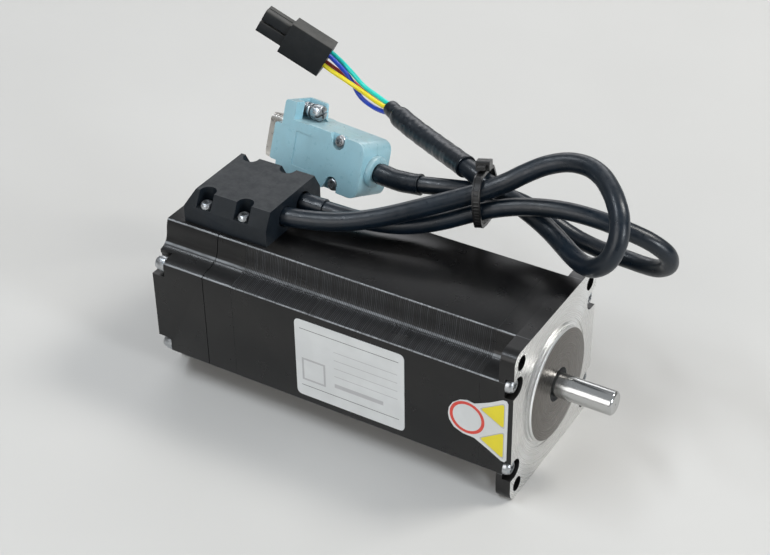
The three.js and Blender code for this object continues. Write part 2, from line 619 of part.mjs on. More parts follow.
function hoodHalf(isNear) {
  const lower = [
    [HOOD_MOUTH, -6.6], [EAR_FRONT, -6.6], [EAR_FRONT, -HOOD_EAR], [EAR_END, -HOOD_EAR],
    [EAR_END + 0.8, -HOOD_W - 0.6], [EAR_END + 2.2, -HOOD_W], [18.6, -HOOD_W],
    [21.4, -HOOD_W + 1.2], [22.7, -HOOD_W + 4.0],
  ];
  const upper = lower.map(([x, y]) => [x, -y]).reverse();
  const depth = isNear ? [0.03, HOOD_T] : [-HOOD_T, -0.03];
  const collar = cylX(5.4, [20.5, 24.4], 0, 0, 16).intersect(box([19, 26], span(7), depth));
  let half = cut(join(prismZ([...lower, ...upper], depth), collar),
    // cavity
    box([-12.6, 8.0], span(7.6), span(5.6)),
    box([7.9, 14.7], span(4.4), span(5.6)),
    box([14.6, 20.4], span(7.6), span(5.6)),
    // D-sub flange slot and mouth
    box([-13.8, -12.4], span(9.1), span(6.6)),
    box([-20, -12], span(8.8), span(4.7)),
    // cable hole
    cylX(3.9, [19, 26], 0, 0, 14));
  for (const side of SIDES) {
    const earY = [side * 9.4, side * 16.2];
    // jackscrew bore, head pocket, and the open face of the ear
    half = cut(half,
      cylX(1.75, [-16, -10], side * JACK_Y, 0, 10),
      box([-12.2, -2.5], earY, span(3.3)),
      isNear
        ? box([-9.2, -2.5], earY, [2.0, HOOD_T + 1])
        : box([-15, EAR_END + 2.2], [side * 9.9, side * 16.2], [-HOOD_T - 1, EAR_BACK]));
  }
  if (isNear) {
    // shallow plain panel and the two recessed screw seats
    half = cut(half, box([-7.2, 0.3], span(6.1), [HOOD_T - 0.35, HOOD_T + 1]));
    const seat = [HOOD_SEAT, HOOD_T + 1];
    for (const side of SIDES) {
      half = cut(half,
        cylZ(2.65, seat, HOOD_SCREW_X, side * HOOD_SCREW_Y, 14),
        box(span(2.3, HOOD_SCREW_X), [side * 8.2, side * 12], seat));
    }
  }
  const bore = isNear ? [-1, HOOD_T] : [-4.6, 0.5];
  return toGeometry(cut(half,
    ...SIDES.map((side) => cylZ(1.4, bore, HOOD_SCREW_X, side * HOOD_SCREW_Y, 8))));
}

// D-shaped outline: long side at +z, short side at -z, both across y. Each
// corner is a curve starting the given setback from its point.
function dOutline(halfWidth, halfHeight, setback) {
  const lean = halfHeight * Math.tan((10 * Math.PI) / 180);
  const corners = [
    [halfWidth, halfHeight], [-halfWidth, halfHeight],
    [-halfWidth + 2 * lean, -halfHeight], [halfWidth - 2 * lean, -halfHeight],
  ].map(([y, z]) => new THREE.Vector2(y, z));
  return corners.flatMap((corner, i) => {
    const towards = (other) => {
      const direction = other.clone().sub(corner).normalize();
      return corner.clone().addScaledVector(direction, setback);
    };
    const start = towards(corners[(i + 3) % 4]);
    const end = towards(corners[(i + 1) % 4]);
    return new THREE.QuadraticBezierCurve(start, corner, end).getPoints(2)
      .map((point) => point.toArray());
  });
}

function dsubShell() {
  const shell = join(prismX(dOutline(8.45, 4.3, 2.8), [-22.1, -12.8]),
    box([-13.6, -12.6], span(8.85), span(6.3)));
  return toGeometry(cut(shell, prismX(dOutline(8.0, 3.85, 2.5), [-23, -11])));
}

const PIN_PITCH = 2.74;
const PIN_ROWS = [[5, 1.42], [4, -1.42]]; // pin count, z

function dsubInsert() {
  let insert = prismX(dOutline(7.65, 3.5, 2.3), [-17.6, -12.9]);
  for (const [count, z] of PIN_ROWS) {
    for (let i = 0; i < count; i++) {
      const y = (i - (count - 1) / 2) * PIN_PITCH;
      insert = join(insert, cylX(0.5, [-21.4, -17.4], y, z, 5));
    }
  }
  return toGeometry(insert);
}

// Axis along x; thread towards the mating side, cross-slotted head towards the cable.
function jackscrew() {
  const body = turnX([
    [-14.6, 0], [-14.6, 1.0], [-14.1, 1.35], [-10.8, 1.35], [-10.8, 2.5], [-9.7, 2.5],
    [-9.7, 1.6], [-8.8, 1.6], [-8.8, 2.5], [-7.8, 2.5], [-7.8, 1.6], [-6.9, 1.6],
    [-6.9, 2.75], [-3.2, 2.75], [-3.2, 0],
  ], 10);
  return toGeometry(cut(body,
    box([-4.4, -2], span(0.4), span(3.2)), box([-4.4, -2], span(1.6), span(0.4))));
}

// -------------------------------------------------------------- power plug
// 2 x 2 wire plug. Local frame: x towards the mating end, y towards the
// near face, z up. The wires enter at the x = 0 end.
const PLUG_CENTRE = new THREE.Vector3(-150.78, 74.44, 46.46);
const PLUG_AXIS = new THREE.Vector3(-0.8553, -0.2036, 0.4765);
const PLUG_UP = new THREE.Vector3(0.3938, 0.3424, 0.8531);
const PLUG_NEAR = new THREE.Vector3(0.3367, -0.9172, 0.2127);

function plugHousing() {
  let housing = join(box([-0.5, 16.1], span(5.1), [-6.3, 5.8]),
    box([15.6, 26.8], span(3.7), span(4.35)));
  // grooves between the contact towers
  housing = cut(housing, box([16.6, 28], span(4.6), span(0.35)),
    box([16.6, 28], span(0.35), span(5.4)));
  // contact openings and wire holes
  for (const [signY, signZ] of CORNERS) {
    housing = cut(housing,
      box([21.0, 28], span(1.1, signY * 2.03), span(1.3, signZ * 2.35)),
      cylX(1.2, [-1, 3.0], signY * 2.1, signZ * 2.1, 8));
  }
  return toGeometry(housing);
}

// -------------------------------------------------------------- lead wires
// Lead wires from the sleeve end to the plug, bunched and slightly twisted.
const WIRE_R = 0.8;
const LEAD_START = new THREE.Vector3(-116.95, 64.35, 39.13);
const LEAD_AXIS = new THREE.Vector3(-0.85, 0.526, 0.025).normalize();
const LEAD_PULL = 11;            // control points' distance from the bundle's ends
const START_SAG = 3.2;           // droop near the sleeve and near the plug
const PLUG_SAG = 1.4;
const WIRE_STEPS = [0, 0.14, 0.3, 0.5, 0.7, 0.86, 1];
// Columns: name, colour, then [degrees, radius] about the bundle's centre at each step.
const WIRES = [
  ['lead_wire_green', 0x19b5a5,
    [[0, 1.33], [4, 1.33], [12, 1.4], [28, 1.3], [350, 1.75], [325, 2.5], [315, 2.97]]],
  ['lead_wire_yellow', 0xe3cf1c,
    [[90, 1.33], [93, 1.33], [100, 1.5], [108, 1.75], [122, 2.3], [132, 2.75], [135, 2.97]]],
  ['lead_wire_blue', 0x1f4fb0,
    [[180, 1.33], [172, 2.1], [178, 2.95], [182, 3.1], [200, 0.25], [45, 2.0], [45, 2.97]]],
  ['lead_wire_red', 0xb0342c,
    [[270, 1.33], [252, 1.5], [238, 1.85], [234, 2.4], [236, 2.75], [228, 2.85], [225, 2.97]]],
];

const along = (start, direction, distance) => start.clone().addScaledVector(direction, distance);
const BUNDLE = new THREE.CubicBezierCurve3(
  LEAD_START,
  along(LEAD_START, LEAD_AXIS, LEAD_PULL).add(new THREE.Vector3(0, 0, -START_SAG)),
  along(PLUG_CENTRE, PLUG_AXIS, -LEAD_PULL).add(new THREE.Vector3(0, 0, -PLUG_SAG)),
  PLUG_CENTRE);

function wirePoint(centre, [degrees, radius], t) {
  const direction = LEAD_AXIS.clone().lerp(PLUG_AXIS, t).normalize();
  const up = along(PLUG_UP, direction, -PLUG_UP.dot(direction)).normalize();
  const near = up.clone().cross(direction);
  const [upward, nearward] = polar(radius, degrees);
  return along(along(centre, up, upward), near, nearward).toArray();
}

function leadWire(turns) {
  return tube([
    wirePoint(along(LEAD_START, LEAD_AXIS, -1.2), turns[0], 0),
    ...WIRE_STEPS.map((t, i) => wirePoint(BUNDLE.getPoint(t), turns[i], t)),
    wirePoint(along(PLUG_CENTRE, PLUG_AXIS, 2.4), turns[6], 1),
  ], WIRE_R, 6, 14);
}

// ------------------------------------------------------------------ assembly
const motor = new THREE.Group();

function addHousing() {
  const parts = [
    ['front_end_cap', frontEndCap(), FINISH.castMetal],
    ['stator_stack', statorStack(), FINISH.paint],
    ['phase_a_winding', phaseWinding(0, [-126.9, -28.9], [-127.4, -126.7]), FINISH.copper],
    ['phase_b_winding', phaseWinding(1, [-126.2, -28.3], [-28.5, -27.9]), FINISH.copper],
    ['slot_insulator_front', slotInsulator(X_FRONT_SEAM, 1), FINISH.insulator],
    ['slot_insulator_rear', slotInsulator(X_REAR_SEAM, -1), FINISH.insulator],
    ['rear_end_cap', rearEndCap(), FINISH.paint],
    ['encoder_cover', encoderCover(), FINISH.paint],
    ['cable_exit_cover', cableExitCover(), FINISH.exitCover],
    ['front_bearing_outer_race', outerRace(FRONT_BEARING_X), FINISH.steel],
    ['rear_bearing_outer_race', outerRace(REAR_BEARING_X), FINISH.steel],
    ['wave_washer', waveWasher(-130.66, 0.3, 0.4), FINISH.steel],
  ];
  for (const part of parts) addMesh(motor, ...part);
}

function addScrews() {
  const bolt = { headR: BOLT_HEAD_R, shankR: BOLT_R, sides: 10 };
  const frontBolt = panScrew({ ...bolt, headH: 2.2, shankL: 106.0 });
  const rearScrew = panScrew({ ...bolt, headH: 3.9, shankL: 18.2 });
  ['near_top', 'far_top', 'far_bottom', 'near_bottom'].forEach((place, i) => {
    const y = CORNERS[i][0] * BOLT_Y;
    const z = CORNERS[i][1] * BOLT_Z;
    addMesh(motor, `front_bolt_${place}`, frontBolt, FINISH.zinc)
      .position.set(FRONT_SEAT + HEAD_GAP, y, z);
    const rear = addMesh(motor, `rear_screw_${place}`, rearScrew, FINISH.zinc);
    rear.position.set(REAR_SEAT - HEAD_GAP, y, z);
    rear.rotation.z = Math.PI;
  });

  const coverScrew = panScrew({ headR: 2.2, headH: 1.8, shankR: 1.05, shankL: 9.2, sides: 8 });
  EXIT_SCREW_X.forEach((x, row) => SIDES.forEach((side, i) => {
    const screw = addMesh(motor, `cover_screw_${row * 2 + i + 1}`, coverScrew, FINISH.zinc);
    screw.position.set(x, side * EXIT_SCREW_Y, EXIT_SEAT + HEAD_GAP);
    screw.rotation.y = -Math.PI / 2;
  }));
}

function addBoard() {
  const board = addGroup(motor);
  addMesh(board, 'encoder_board', encoderBoard(), FINISH.board);
  addMesh(board, 'encoder_reader', encoderReader(), FINISH.reader);
}

function addLabels() {
  const plate = roundedRect([-98.5, -58.4], span(15), 2, 4);
  addMesh(motor, 'nameplate_label', extrudeY(plate, [-28.47, LABEL_BACK]), FINISH.nameplate);
  addMesh(motor, 'side_sticker', extrudeY(STICKER_OUTLINE, [-28.45, LABEL_BACK]),
    FINISH.sticker);
}

function addRotor() {
  const rotor = addGroup(motor);
  const magnet = ringX([CORE_BORE_R, 12.8], [-79.3, -75.6], 20);
  const disc = ringX([5.15, 13.0], [-138.8, -138.3], 18);
  const parts = [
    ['shaft', toGeometry(turnX(SHAFT_PROFILE, 20)), FINISH.steel],
    ['rotor_core_front', toothedCore([-75.5, -34.5], 0), FINISH.core],
    // set half a tooth round from the front core
    ['rotor_core_rear', toothedCore([-120.6, -79.4], 180 / ROTOR_TEETH), FINISH.core],
    ['rotor_magnet', toGeometry(magnet), FINISH.magnet],
    ['front_bearing_inner_race', innerRace(FRONT_BEARING_X), FINISH.steel],
    ['rear_bearing_inner_race', innerRace(REAR_BEARING_X), FINISH.steel],
    ['encoder_hub', toGeometry(turnX(HUB_PROFILE, 14)), FINISH.hub],
    ['encoder_disc', toGeometry(disc), FINISH.disc],
  ];
  for (const part of parts) addMesh(rotor, ...part);
  addMesh(motor, 'front_ball_set', ballSet(FRONT_BEARING_X), FINISH.steel);
  addMesh(motor, 'rear_ball_set', ballSet(REAR_BEARING_X), FINISH.steel);
}

function addCables() {
  const parts = [
    ['power_cable', tube(POWER_PATH, POWER_R, CABLE_SIDES, 54)],
    ['encoder_cable', tube(ENCODER_PATH, ENCODER_R, CABLE_SIDES, 52)],
    ['power_lead_sleeve', sleeve(POWER_SLEEVE_PATH, POWER_R, 0.34, 8)],
    ['encoder_exit_sleeve', sleeve(EXIT_SLEEVE_PATH, ENCODER_R, 0.28, 2)],
    ['encoder_hood_sleeve', sleeve(HOOD_SLEEVE_PATH, ENCODER_R, 0.3, 4)],
  ];
  for (const part of parts) addMesh(motor, ...part, FINISH.rubber);
  for (const [name, color, turns] of WIRES) {
    addMesh(motor, name, leadWire(turns), wireFinish(color));
  }
  addMesh(addGroup(motor, TIE_CENTRE, TIE_BASIS), 'cable_tie', cableTie(), FINISH.tie);
}

function addEncoderConnector() {
  const hood = addGroup(motor, HOOD_CENTRE, HOOD_BASIS);
  addMesh(hood, 'hood_near_shell', hoodHalf(true), FINISH.hood);
  addMesh(hood, 'hood_far_shell', hoodHalf(false), FINISH.hood);
  addMesh(hood, 'dsub_shell', dsubShell(), FINISH.zinc);
  addMesh(hood, 'dsub_insert', dsubInsert(), FINISH.insert);
  const ends = [['upper', 1], ['lower', -1]];
  for (const [end, side] of ends) {
    addMesh(hood, `jackscrew_${end}`, jackscrew(), FINISH.zinc).position.y = side * JACK_Y;
  }
  const hoodScrew = panScrew({ headR: 2.3, headH: 1.5, shankR: 1.1, shankL: 9.6, sides: 8 });
  for (const [end, side] of ends) {
    const screw = addMesh(hood, `hood_screw_${end}`, hoodScrew, FINISH.zinc);
    screw.position.set(HOOD_SCREW_X, side * HOOD_SCREW_Y, HOOD_SEAT + 0.03);
    screw.rotation.y = -Math.PI / 2;
  }
}

function addPowerPlug() {
  const basis = new THREE.Matrix4().makeBasis(PLUG_AXIS, PLUG_NEAR, PLUG_UP);
  const plug = addGroup(motor, PLUG_CENTRE, basis);
  addMesh(plug, 'power_plug_housing', plugHousing(), FINISH.plug);
}

addHousing();
addScrews();
addBoard();
addLabels();
addRotor();
addCables();
addEncoderConnector();
addPowerPlug();

export default motor;
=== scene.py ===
import math
from functools import reduce

import bmesh
import bpy
from mathutils import Matrix, Vector


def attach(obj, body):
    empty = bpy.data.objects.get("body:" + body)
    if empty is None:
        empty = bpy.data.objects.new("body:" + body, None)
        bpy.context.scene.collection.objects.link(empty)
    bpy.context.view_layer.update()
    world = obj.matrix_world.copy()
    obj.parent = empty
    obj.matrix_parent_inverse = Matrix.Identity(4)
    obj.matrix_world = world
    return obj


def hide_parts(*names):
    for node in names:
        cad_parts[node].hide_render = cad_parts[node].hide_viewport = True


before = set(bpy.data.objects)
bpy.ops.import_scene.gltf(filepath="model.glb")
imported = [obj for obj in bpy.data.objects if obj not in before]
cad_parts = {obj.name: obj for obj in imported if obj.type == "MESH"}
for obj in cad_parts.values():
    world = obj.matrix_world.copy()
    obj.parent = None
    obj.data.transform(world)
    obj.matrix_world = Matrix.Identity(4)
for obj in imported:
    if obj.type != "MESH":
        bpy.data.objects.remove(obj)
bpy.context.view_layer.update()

MM = 0.001  # metres in a millimetre
SCENE = bpy.context.scene

# ---------------------------------------------------------------- mesh helpers


def new_mesh(name, verts, faces):
    mesh = bpy.data.meshes.new(name)
    mesh.from_pydata([[value * MM for value in vert] for vert in verts], [], faces)
    work = bmesh.new()
    work.from_mesh(mesh)
    bmesh.ops.recalc_face_normals(work, faces=work.faces)
    work.to_mesh(mesh)
    work.free()
    obj = bpy.data.objects.new(name, mesh)
    SCENE.collection.objects.link(obj)
    return obj


def polar(radius, degrees):
    angle = math.radians(degrees)
    return radius * math.cos(angle), radius * math.sin(angle)


def unit_circle(count):
    angles = [2 * math.pi * i / count for i in range(count)]
    return [(math.cos(angle), math.sin(angle)) for angle in angles]


def rectangle(x0, x1, y0, y1, *radius):
    return [(x0, y0, *radius), (x1, y0, *radius), (x1, y1, *radius), (x0, y1, *radius)]


def prism(outline, start, end, axis="X"):
    """An outline in the two other axes, in XYZ order, drawn along the axis."""
    k = "XYZ".index(axis)
    verts = [(*point[:k], level, *point[k:]) for level in (start, end) for point in outline]
    n = len(outline)
    faces = [tuple(range(n)), tuple(range(n, 2 * n))]
    faces += [(i, (i + 1) % n, n + (i + 1) % n, n + i) for i in range(n)]
    return new_mesh("prism", verts, faces)


def cyl(axis, radius, start, end, count, centre=(0, 0)):
    across, up = centre
    outline = [(across + radius * c, up + radius * s) for c, s in unit_circle(count)]
    return prism(outline, start, end, axis)


def box(x0, x1, y0, y1, z0, z1):
    """The limits in Y and in Z may come in either order."""
    return prism(rectangle(*sorted((y0, y1)), *sorted((z0, z1))), x0, x1)


def lathe(profile, count=48):
    """Profile of (x, radius) about the X axis; a closed ring if the ends meet."""
    closed = profile[0] == profile[-1]
    verts, rows = [], []
    for x, radius in profile[:-1] if closed else profile:
        if radius < 1e-6:
            rows.append([len(verts)] * count)
            verts.append((x, 0, 0))
        else:
            rows.append([len(verts) + i for i in range(count)])
            verts += [(x, radius * c, radius * s) for c, s in unit_circle(count)]
    faces = []
    for row, after in zip(rows, rows[1:] + (rows[:1] if closed else [])):
        for i in range(count):
            j = (i + 1) % count
            face = tuple(dict.fromkeys((row[i], after[i], after[j], row[j])))
            if len(face) > 2:
                faces.append(face)
    return new_mesh("lathe", verts, faces)


def ring(r0, r1, x0, x1, count=48):
    return lathe([(x0, r0), (x1, r0), (x1, r1), (x0, r1), (x0, r0)], count)


def apply_mods(obj):
    bpy.context.view_layer.update()
    depsgraph = bpy.context.evaluated_depsgraph_get()
    mesh = bpy.data.meshes.new_from_object(obj.evaluated_get(depsgraph))
    old = obj.data
    obj.modifiers.clear()
    obj.data = mesh
    if old.users == 0:
        bpy.data.meshes.remove(old)
    return obj


def drop(obj):
    mesh = obj.data
    bpy.data.objects.remove(obj)
    if mesh.users == 0:
        bpy.data.meshes.remove(mesh)


def boolean(obj, tools, operation):
    for tool in tools:
        mod = obj.modifiers.new("b", "BOOLEAN")
        mod.operation = operation
        mod.solver = "MANIFOLD"
        mod.object = tool
    apply_mods(obj)
    for tool in tools:
        drop(tool)
    return obj


def cut(obj, *tools):
    return boolean(obj, tools, "DIFFERENCE")


def join(obj, *tools):
    return boolean(obj, tools, "UNION")


def common(obj, *tools):
    return boolean(obj, tools, "INTERSECT")


def add_bevel(obj, width, segments, angle):
    bevel = obj.modifiers.new("edge", "BEVEL")
    bevel.width = width * MM
    bevel.segments = segments
    bevel.limit_method = "ANGLE"
    bevel.angle_limit = math.radians(angle)
    return bevel


def move(obj, matrix):
    obj.data.transform(matrix)
    return obj


def shift(x, y, z):
    return Matrix.Translation(Vector((x, y, z)) * MM)


def turn(angle, axis="X"):
    return Matrix.Rotation(angle, 4, axis)


def axes_at(axes, origin):
    """Placing matrix from the directions of its X, Y and Z axes and its origin."""
    matrix = Matrix(axes).transposed().to_4x4()
    matrix.translation = Vector([value * MM for value in origin])
    return matrix


def report(obj, body, node):
    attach(obj, body)
    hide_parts(node)


def finish(obj, name, materials, node, bevel=0.0, segments=2, angle=35, body="housing"):
    """Name, paint and smooth a piece, bevel edges over the angle, and report it."""
    obj.name = name
    mesh = obj.data
    mesh.name = name
    mesh.materials.clear()
    for material in materials if isinstance(materials, list) else [materials]:
        mesh.materials.append(material)
    mesh.polygons.foreach_set("use_smooth", [True] * len(mesh.polygons))
    mesh.set_sharp_from_angle(angle=math.radians(angle))
    if bevel:
        add_bevel(obj, bevel, segments, angle).harden_normals = True
    report(obj, body, node)
    return obj


def catmull(points, per_span=10):
    """Centripetal Catmull-Rom curve through the points."""
    knots = [Vector(point) for point in points]
    knots = [knots[0] * 2 - knots[1]] + knots + [knots[-1] * 2 - knots[-2]]
    curve = []
    for before, start, end, after in zip(knots, knots[1:], knots[2:], knots[3:]):
        spans = (start - before, end - start, after - end)
        gap0, gap1, gap2 = [max(span.length**0.5, 1e-4) for span in spans]
        chord = (end - start) / gap1
        leave = ((start - before) / gap0 - (end - before) / (gap0 + gap1) + chord) * gap1
        arrive = (chord - (after - start) / (gap1 + gap2) + (after - end) / gap2) * gap1
        for i in range(per_span):
            t = i / per_span
            curve.append(start * (2 * t**3 - 3 * t**2 + 1) + leave * (t**3 - 2 * t**2 + t)
                         + end * (-2 * t**3 + 3 * t**2) + arrive * (t**3 - t**2))
    curve.append(knots[-2])
    return curve


def resample(points, step):
    """The line's points spaced evenly, about a step apart, and its whole length."""
    marks = [0.0]
    for start, end in zip(points, points[1:]):
        marks.append(marks[-1] + (end - start).length)
    length = marks[-1]
    count = max(2, round(length / step))
    spaced = []
    k = 0
    for i in range(count + 1):
        goal = length * i / count
        while k < len(marks) - 2 and marks[k + 1] < goal:
            k += 1
        part = (goal - marks[k]) / max(marks[k + 1] - marks[k], 1e-9)
        spaced.append(points[k].lerp(points[k + 1], min(max(part, 0), 1)))
    return spaced, length


def smooth_outline(points, step):
    curve = catmull([(x, y, 0) for x, y in points], 6)
    return [(point.x, point.y) for point in resample(curve, step)[0]]


def sweep(points, radius, step, rounding=0.5, count=36, inner=None):
    """A round bar, or a sleeve if inner is given, along the points. radius and inner
    are functions of the distance along it and of the whole length."""
    path, length = resample(catmull(points), step)
    last = len(path) - 1
    tangents = [(path[min(i + 1, last)] - path[max(i - 1, 0)]).normalized()
                for i in range(last + 1)]
    up = Vector((0, 0, 1))
    side = (up - tangents[0] * up.dot(tangents[0])).normalized()
    frames = []
    for tangent in tangents:
        side = (side - tangent * side.dot(tangent)).normalized()
        frames.append((side.copy(), tangent.cross(side)))
    rows = []

    def row(i, reach, offset=0.0):
        across, over = frames[i]
        centre = path[i] + tangents[i] * offset
        rows.append([tuple(centre + (across * c + over * s) * reach)
                     for c, s in unit_circle(count)])

    inset = (1.0, 0.6, 0.25)
    for part in inset:
        row(0, radius(0, length) - rounding * part, rounding * (1 - part) * 0.15)
    for i in range(last + 1):
        along = length * i / last
        if rounding * 0.5 < along < length - rounding * 0.5:
            row(i, radius(along, length))
    for part in reversed(inset):
        row(last, radius(length, length) - rounding * part, -rounding * (1 - part) * 0.15)
    if inner:
        for i in reversed(range(last + 1)):
            row(i, inner(length * i / last, length))
    total = len(rows)
    faces = []
    for k in range(total if inner else total - 1):
        a, b = k * count, ((k + 1) % total) * count
        for i in range(count):
            j = (i + 1) % count
            faces.append((a + i, a + j, b + j, b + i))
    if not inner:
        faces += [tuple(range(count)), tuple(range((total - 1) * count, total * count))]
    return new_mesh("sweep", [vert for verts in rows for vert in verts], faces)


def rounded(corners, steps):
    """Outline of (x, y, radius) corners, each drawn as a curve of some steps."""
    outline = []
    for i, (x, y, radius) in enumerate(corners):
        corner = Vector((x, y))
        back = Vector(corners[i - 1][:2]) - corner
        ahead = Vector(corners[(i + 1) % len(corners)][:2]) - corner
        reach = min(radius / math.tan(back.angle(ahead) / 2),
                    back.length * 0.49, ahead.length * 0.49)
        start = corner + back.normalized() * reach
        end = corner + ahead.normalized() * reach
        for k in range(steps + 1):
            t = k / steps
            point = start * (1 - t) ** 2 + corner * 2 * t * (1 - t) + end * t * t
            outline.append((point.x, point.y))
    return outline


# ------------------------------------------------------------- material helpers


class Mat:
    """A material on object coordinates; sizes, pitches and depths are in mm."""

    def __init__(self, name):
        self.material = bpy.data.materials.new(name)
        self.material.use_nodes = True
        self.tree = self.material.node_tree
        self.coords = self.node("TexCoord").outputs["Object"]

    def link(self, value, socket):
        if hasattr(value, "is_output"):
            self.tree.links.new(value, socket)
        elif isinstance(value, (tuple, list)) and socket.type == "RGBA":
            socket.default_value = (*value[:3], 1.0)
        else:
            socket.default_value = value

    def fill(self, node, inputs):
        """Underscores in the input names stand for spaces."""
        for name, value in inputs.items():
            self.link(value, node.inputs[name.replace("_", " ")])

    def node(self, kind, **inputs):
        node = self.tree.nodes.new("ShaderNode" + kind)
        self.fill(node, inputs)
        return node

    def surface(self, **inputs):
        self.fill(self.tree.nodes["Principled BSDF"], inputs)
        return self.material

    def scaled(self, x, y, z):
        return self.node("Mapping", Scale=(x, y, z), Vector=self.coords).outputs[0]

    def noise(self, size, detail=3.0, rough=0.55, vector=None):
        return self.node("TexNoise", Scale=1.0 / (size * MM), Detail=detail, Roughness=rough,
                         Vector=vector or self.coords).outputs["Fac"]

    def voronoi(self, size):
        scale = 1.0 / (size * MM)
        return self.node("TexVoronoi", Scale=scale, Vector=self.coords).outputs["Distance"]

    def math(self, operation, first, second=0.0):
        node = self.node("Math")
        node.operation = operation
        for value, socket in zip((first, second, 0.0), node.inputs):
            self.link(value, socket)
        return node.outputs[0]

    def add(self, *values):
        return reduce(lambda a, b: self.math("ADD", a, b), values)

    def times(self, *values):
        return reduce(lambda a, b: self.math("MULTIPLY", a, b), values)

    def radius(self, a, b):
        return self.math("SQRT", self.add(self.times(a, a), self.times(b, b)))

    def wave(self, value, pitch):
        return self.math("SINE", self.times(value, 2 * math.pi / (pitch * MM)))

    def xyz(self, vector=None):
        return self.node("SeparateXYZ", Vector=vector or self.coords).outputs

    def span(self, value, lo, hi, to_lo=0.0, to_hi=1.0):
        """Smooth step that takes lo..hi to to_lo..to_hi."""
        node = self.node("MapRange", Value=value, From_Min=lo, From_Max=hi,
                         To_Min=to_lo, To_Max=to_hi)
        node.interpolation_type = "SMOOTHSTEP"
        return node.outputs[0]

    def patches(self, size, detail=3.0, rough=0.55, vector=None, **limits):
        return self.span(self.noise(size, detail, rough, vector), **limits)

    def mix(self, factor, low, high):
        node = self.node("Mix")
        node.data_type = "RGBA"
        for k, value in ((0, factor), (6, low), (7, high)):
            self.link(value, node.inputs[k])
        return node.outputs[2]

    def bump(self, height, depth, strength=1.0, under=None):
        node = self.node("Bump", Strength=strength, Distance=depth * MM, Height=height)
        if under:
            self.link(under, node.inputs["Normal"])
        return node.outputs[0]

    def upward(self):
        """1 on faces that look up, 0 on upright and lower ones."""
        normal = self.node("NewGeometry").outputs["Normal"]
        return self.math("MAXIMUM", self.xyz(normal)[2], 0.0)


def shade(colour, factor):
    return tuple(min(1.0, value * factor) for value in colour)


def dust(mat, base, amount):
    """A little dust that lies on upward faces."""
    speck = mat.patches(size=1.1, detail=5, rough=0.7, lo=0.52, hi=0.75)
    return mat.mix(mat.times(speck, mat.upward(), amount), base, (0.42, 0.41, 0.39))


def edge_wear(mat, radius):
    """1 along convex and concave edges, broken up by noise."""
    bevel = mat.node("Bevel", Radius=radius * MM)
    bevel.samples = 4
    dot = mat.node("VectorMath")
    dot.operation = "DOT_PRODUCT"
    mat.link(bevel.outputs[0], dot.inputs[0])
    mat.link(mat.node("NewGeometry").outputs["Normal"], dot.inputs[1])
    edge = mat.span(mat.math("SUBTRACT", 1.0, dot.outputs["Value"]), lo=0.03, hi=0.16)
    broken = mat.patches(size=1.2, detail=4, rough=0.65, lo=0.38, hi=0.62, to_lo=0.25)
    return mat.times(edge, broken)


def ridge_line(mat, small, large, at, inner, outer):
    """1 within inner of the long edge at (small, large), fading to 0 at outer."""
    gaps = [mat.math("SUBTRACT", value, place * MM) for value, place in zip((small, large), at)]
    return mat.math("SUBTRACT", 1.0, mat.span(mat.radius(*gaps), inner * MM, outer * MM))


def black_paint(name, laminated=False):
    """Gloss paint with a little edge wear, and painted highlights along the long edges of the
    body.
    """
    mat = Mat(name)
    colour = mat.mix(mat.patches(size=14, detail=4, lo=0.35, hi=0.7),
                     (0.0034, 0.0033, 0.0035), (0.0062, 0.0058, 0.0056))
    peel = mat.bump(mat.noise(size=1.3, detail=2), depth=0.004, strength=0.3)
    streak = mat.noise(size=0.45, detail=2, rough=0.5, vector=mat.scaled(1, 0.012, 0.012))
    normal = mat.bump(streak, depth=0.0015, strength=0.25, under=peel)
    x, y, z = mat.xyz()
    # the section is four-fold, so its edges are found by the smaller and larger of |y|, |z|
    small, large = [mat.math(kind, mat.math("ABSOLUTE", y), mat.math("ABSOLUTE", z))
                    for kind in ("MINIMUM", "MAXIMUM")]
    # where the painted highlight lines run: along the flats' edges and the diagonal ridges
    flat_edge = ridge_line(mat, small, large, at=(17.75, 27.95), inner=0.10, outer=0.34)
    diagonal = ridge_line(mat, small, large, at=(20.2, 20.2), inner=0.18, outer=0.62)
    if laminated:
        # fine plates across X, plain to see only in the corners
        corner = mat.span(small, lo=17.2 * MM, hi=18.2 * MM)
        wave = mat.wave(x, pitch=0.62)
        uneven = mat.noise(size=0.5, detail=2, rough=0.6, vector=mat.scaled(1, 0.02, 0.02))
        height = mat.times(mat.add(wave, mat.times(uneven, 1.6)), mat.add(corner, 0.006))
        normal = mat.bump(height, depth=0.040, under=normal)
        # the crests of the plates in the corners are painted lighter: painted glints of light
        hatch = mat.times(mat.span(wave, lo=0.1, hi=1.0), corner,
                          mat.span(uneven, lo=0.35, hi=0.65, to_lo=0.15, to_hi=0.8))
        colour = mat.mix(hatch, colour, (0.062, 0.065, 0.072))
        # the diagonal's painted highlight is broken into dashes along the plates
        dashes = mat.span(mat.add(wave, mat.times(uneven, 2.0)), lo=0.0, hi=1.8, to_lo=0.35)
        diagonal = mat.times(diagonal, dashes)
        flat_edge = mat.times(flat_edge, mat.span(uneven, lo=0.35, hi=0.6, to_lo=0.5))
    broken = mat.patches(size=2.6, detail=3, rough=0.6, vector=mat.scaled(0.35, 1, 1),
                         lo=0.32, hi=0.6, to_lo=0.55)
    # the pale colour of these lines is a painted highlight, broken up by noise
    lines = mat.times(mat.math("MAXIMUM", flat_edge, mat.times(diagonal, 0.9)), broken)
    colour = mat.mix(mat.times(lines, 0.9), colour, (0.30, 0.315, 0.33))
    # edges a little lighter: partly wear, partly painted highlight
    wear = mat.times(edge_wear(mat, radius=0.22), 0.4)
    colour = mat.mix(wear, colour, (0.055, 0.06, 0.066))
    return mat.surface(
        Base_Color=dust(mat, colour, amount=0.02), Normal=normal, Specular_IOR_Level=0.40,
        Roughness=mat.patches(size=9, detail=4, rough=0.6, lo=0.3, hi=0.75,
                              to_lo=0.27, to_hi=0.32))


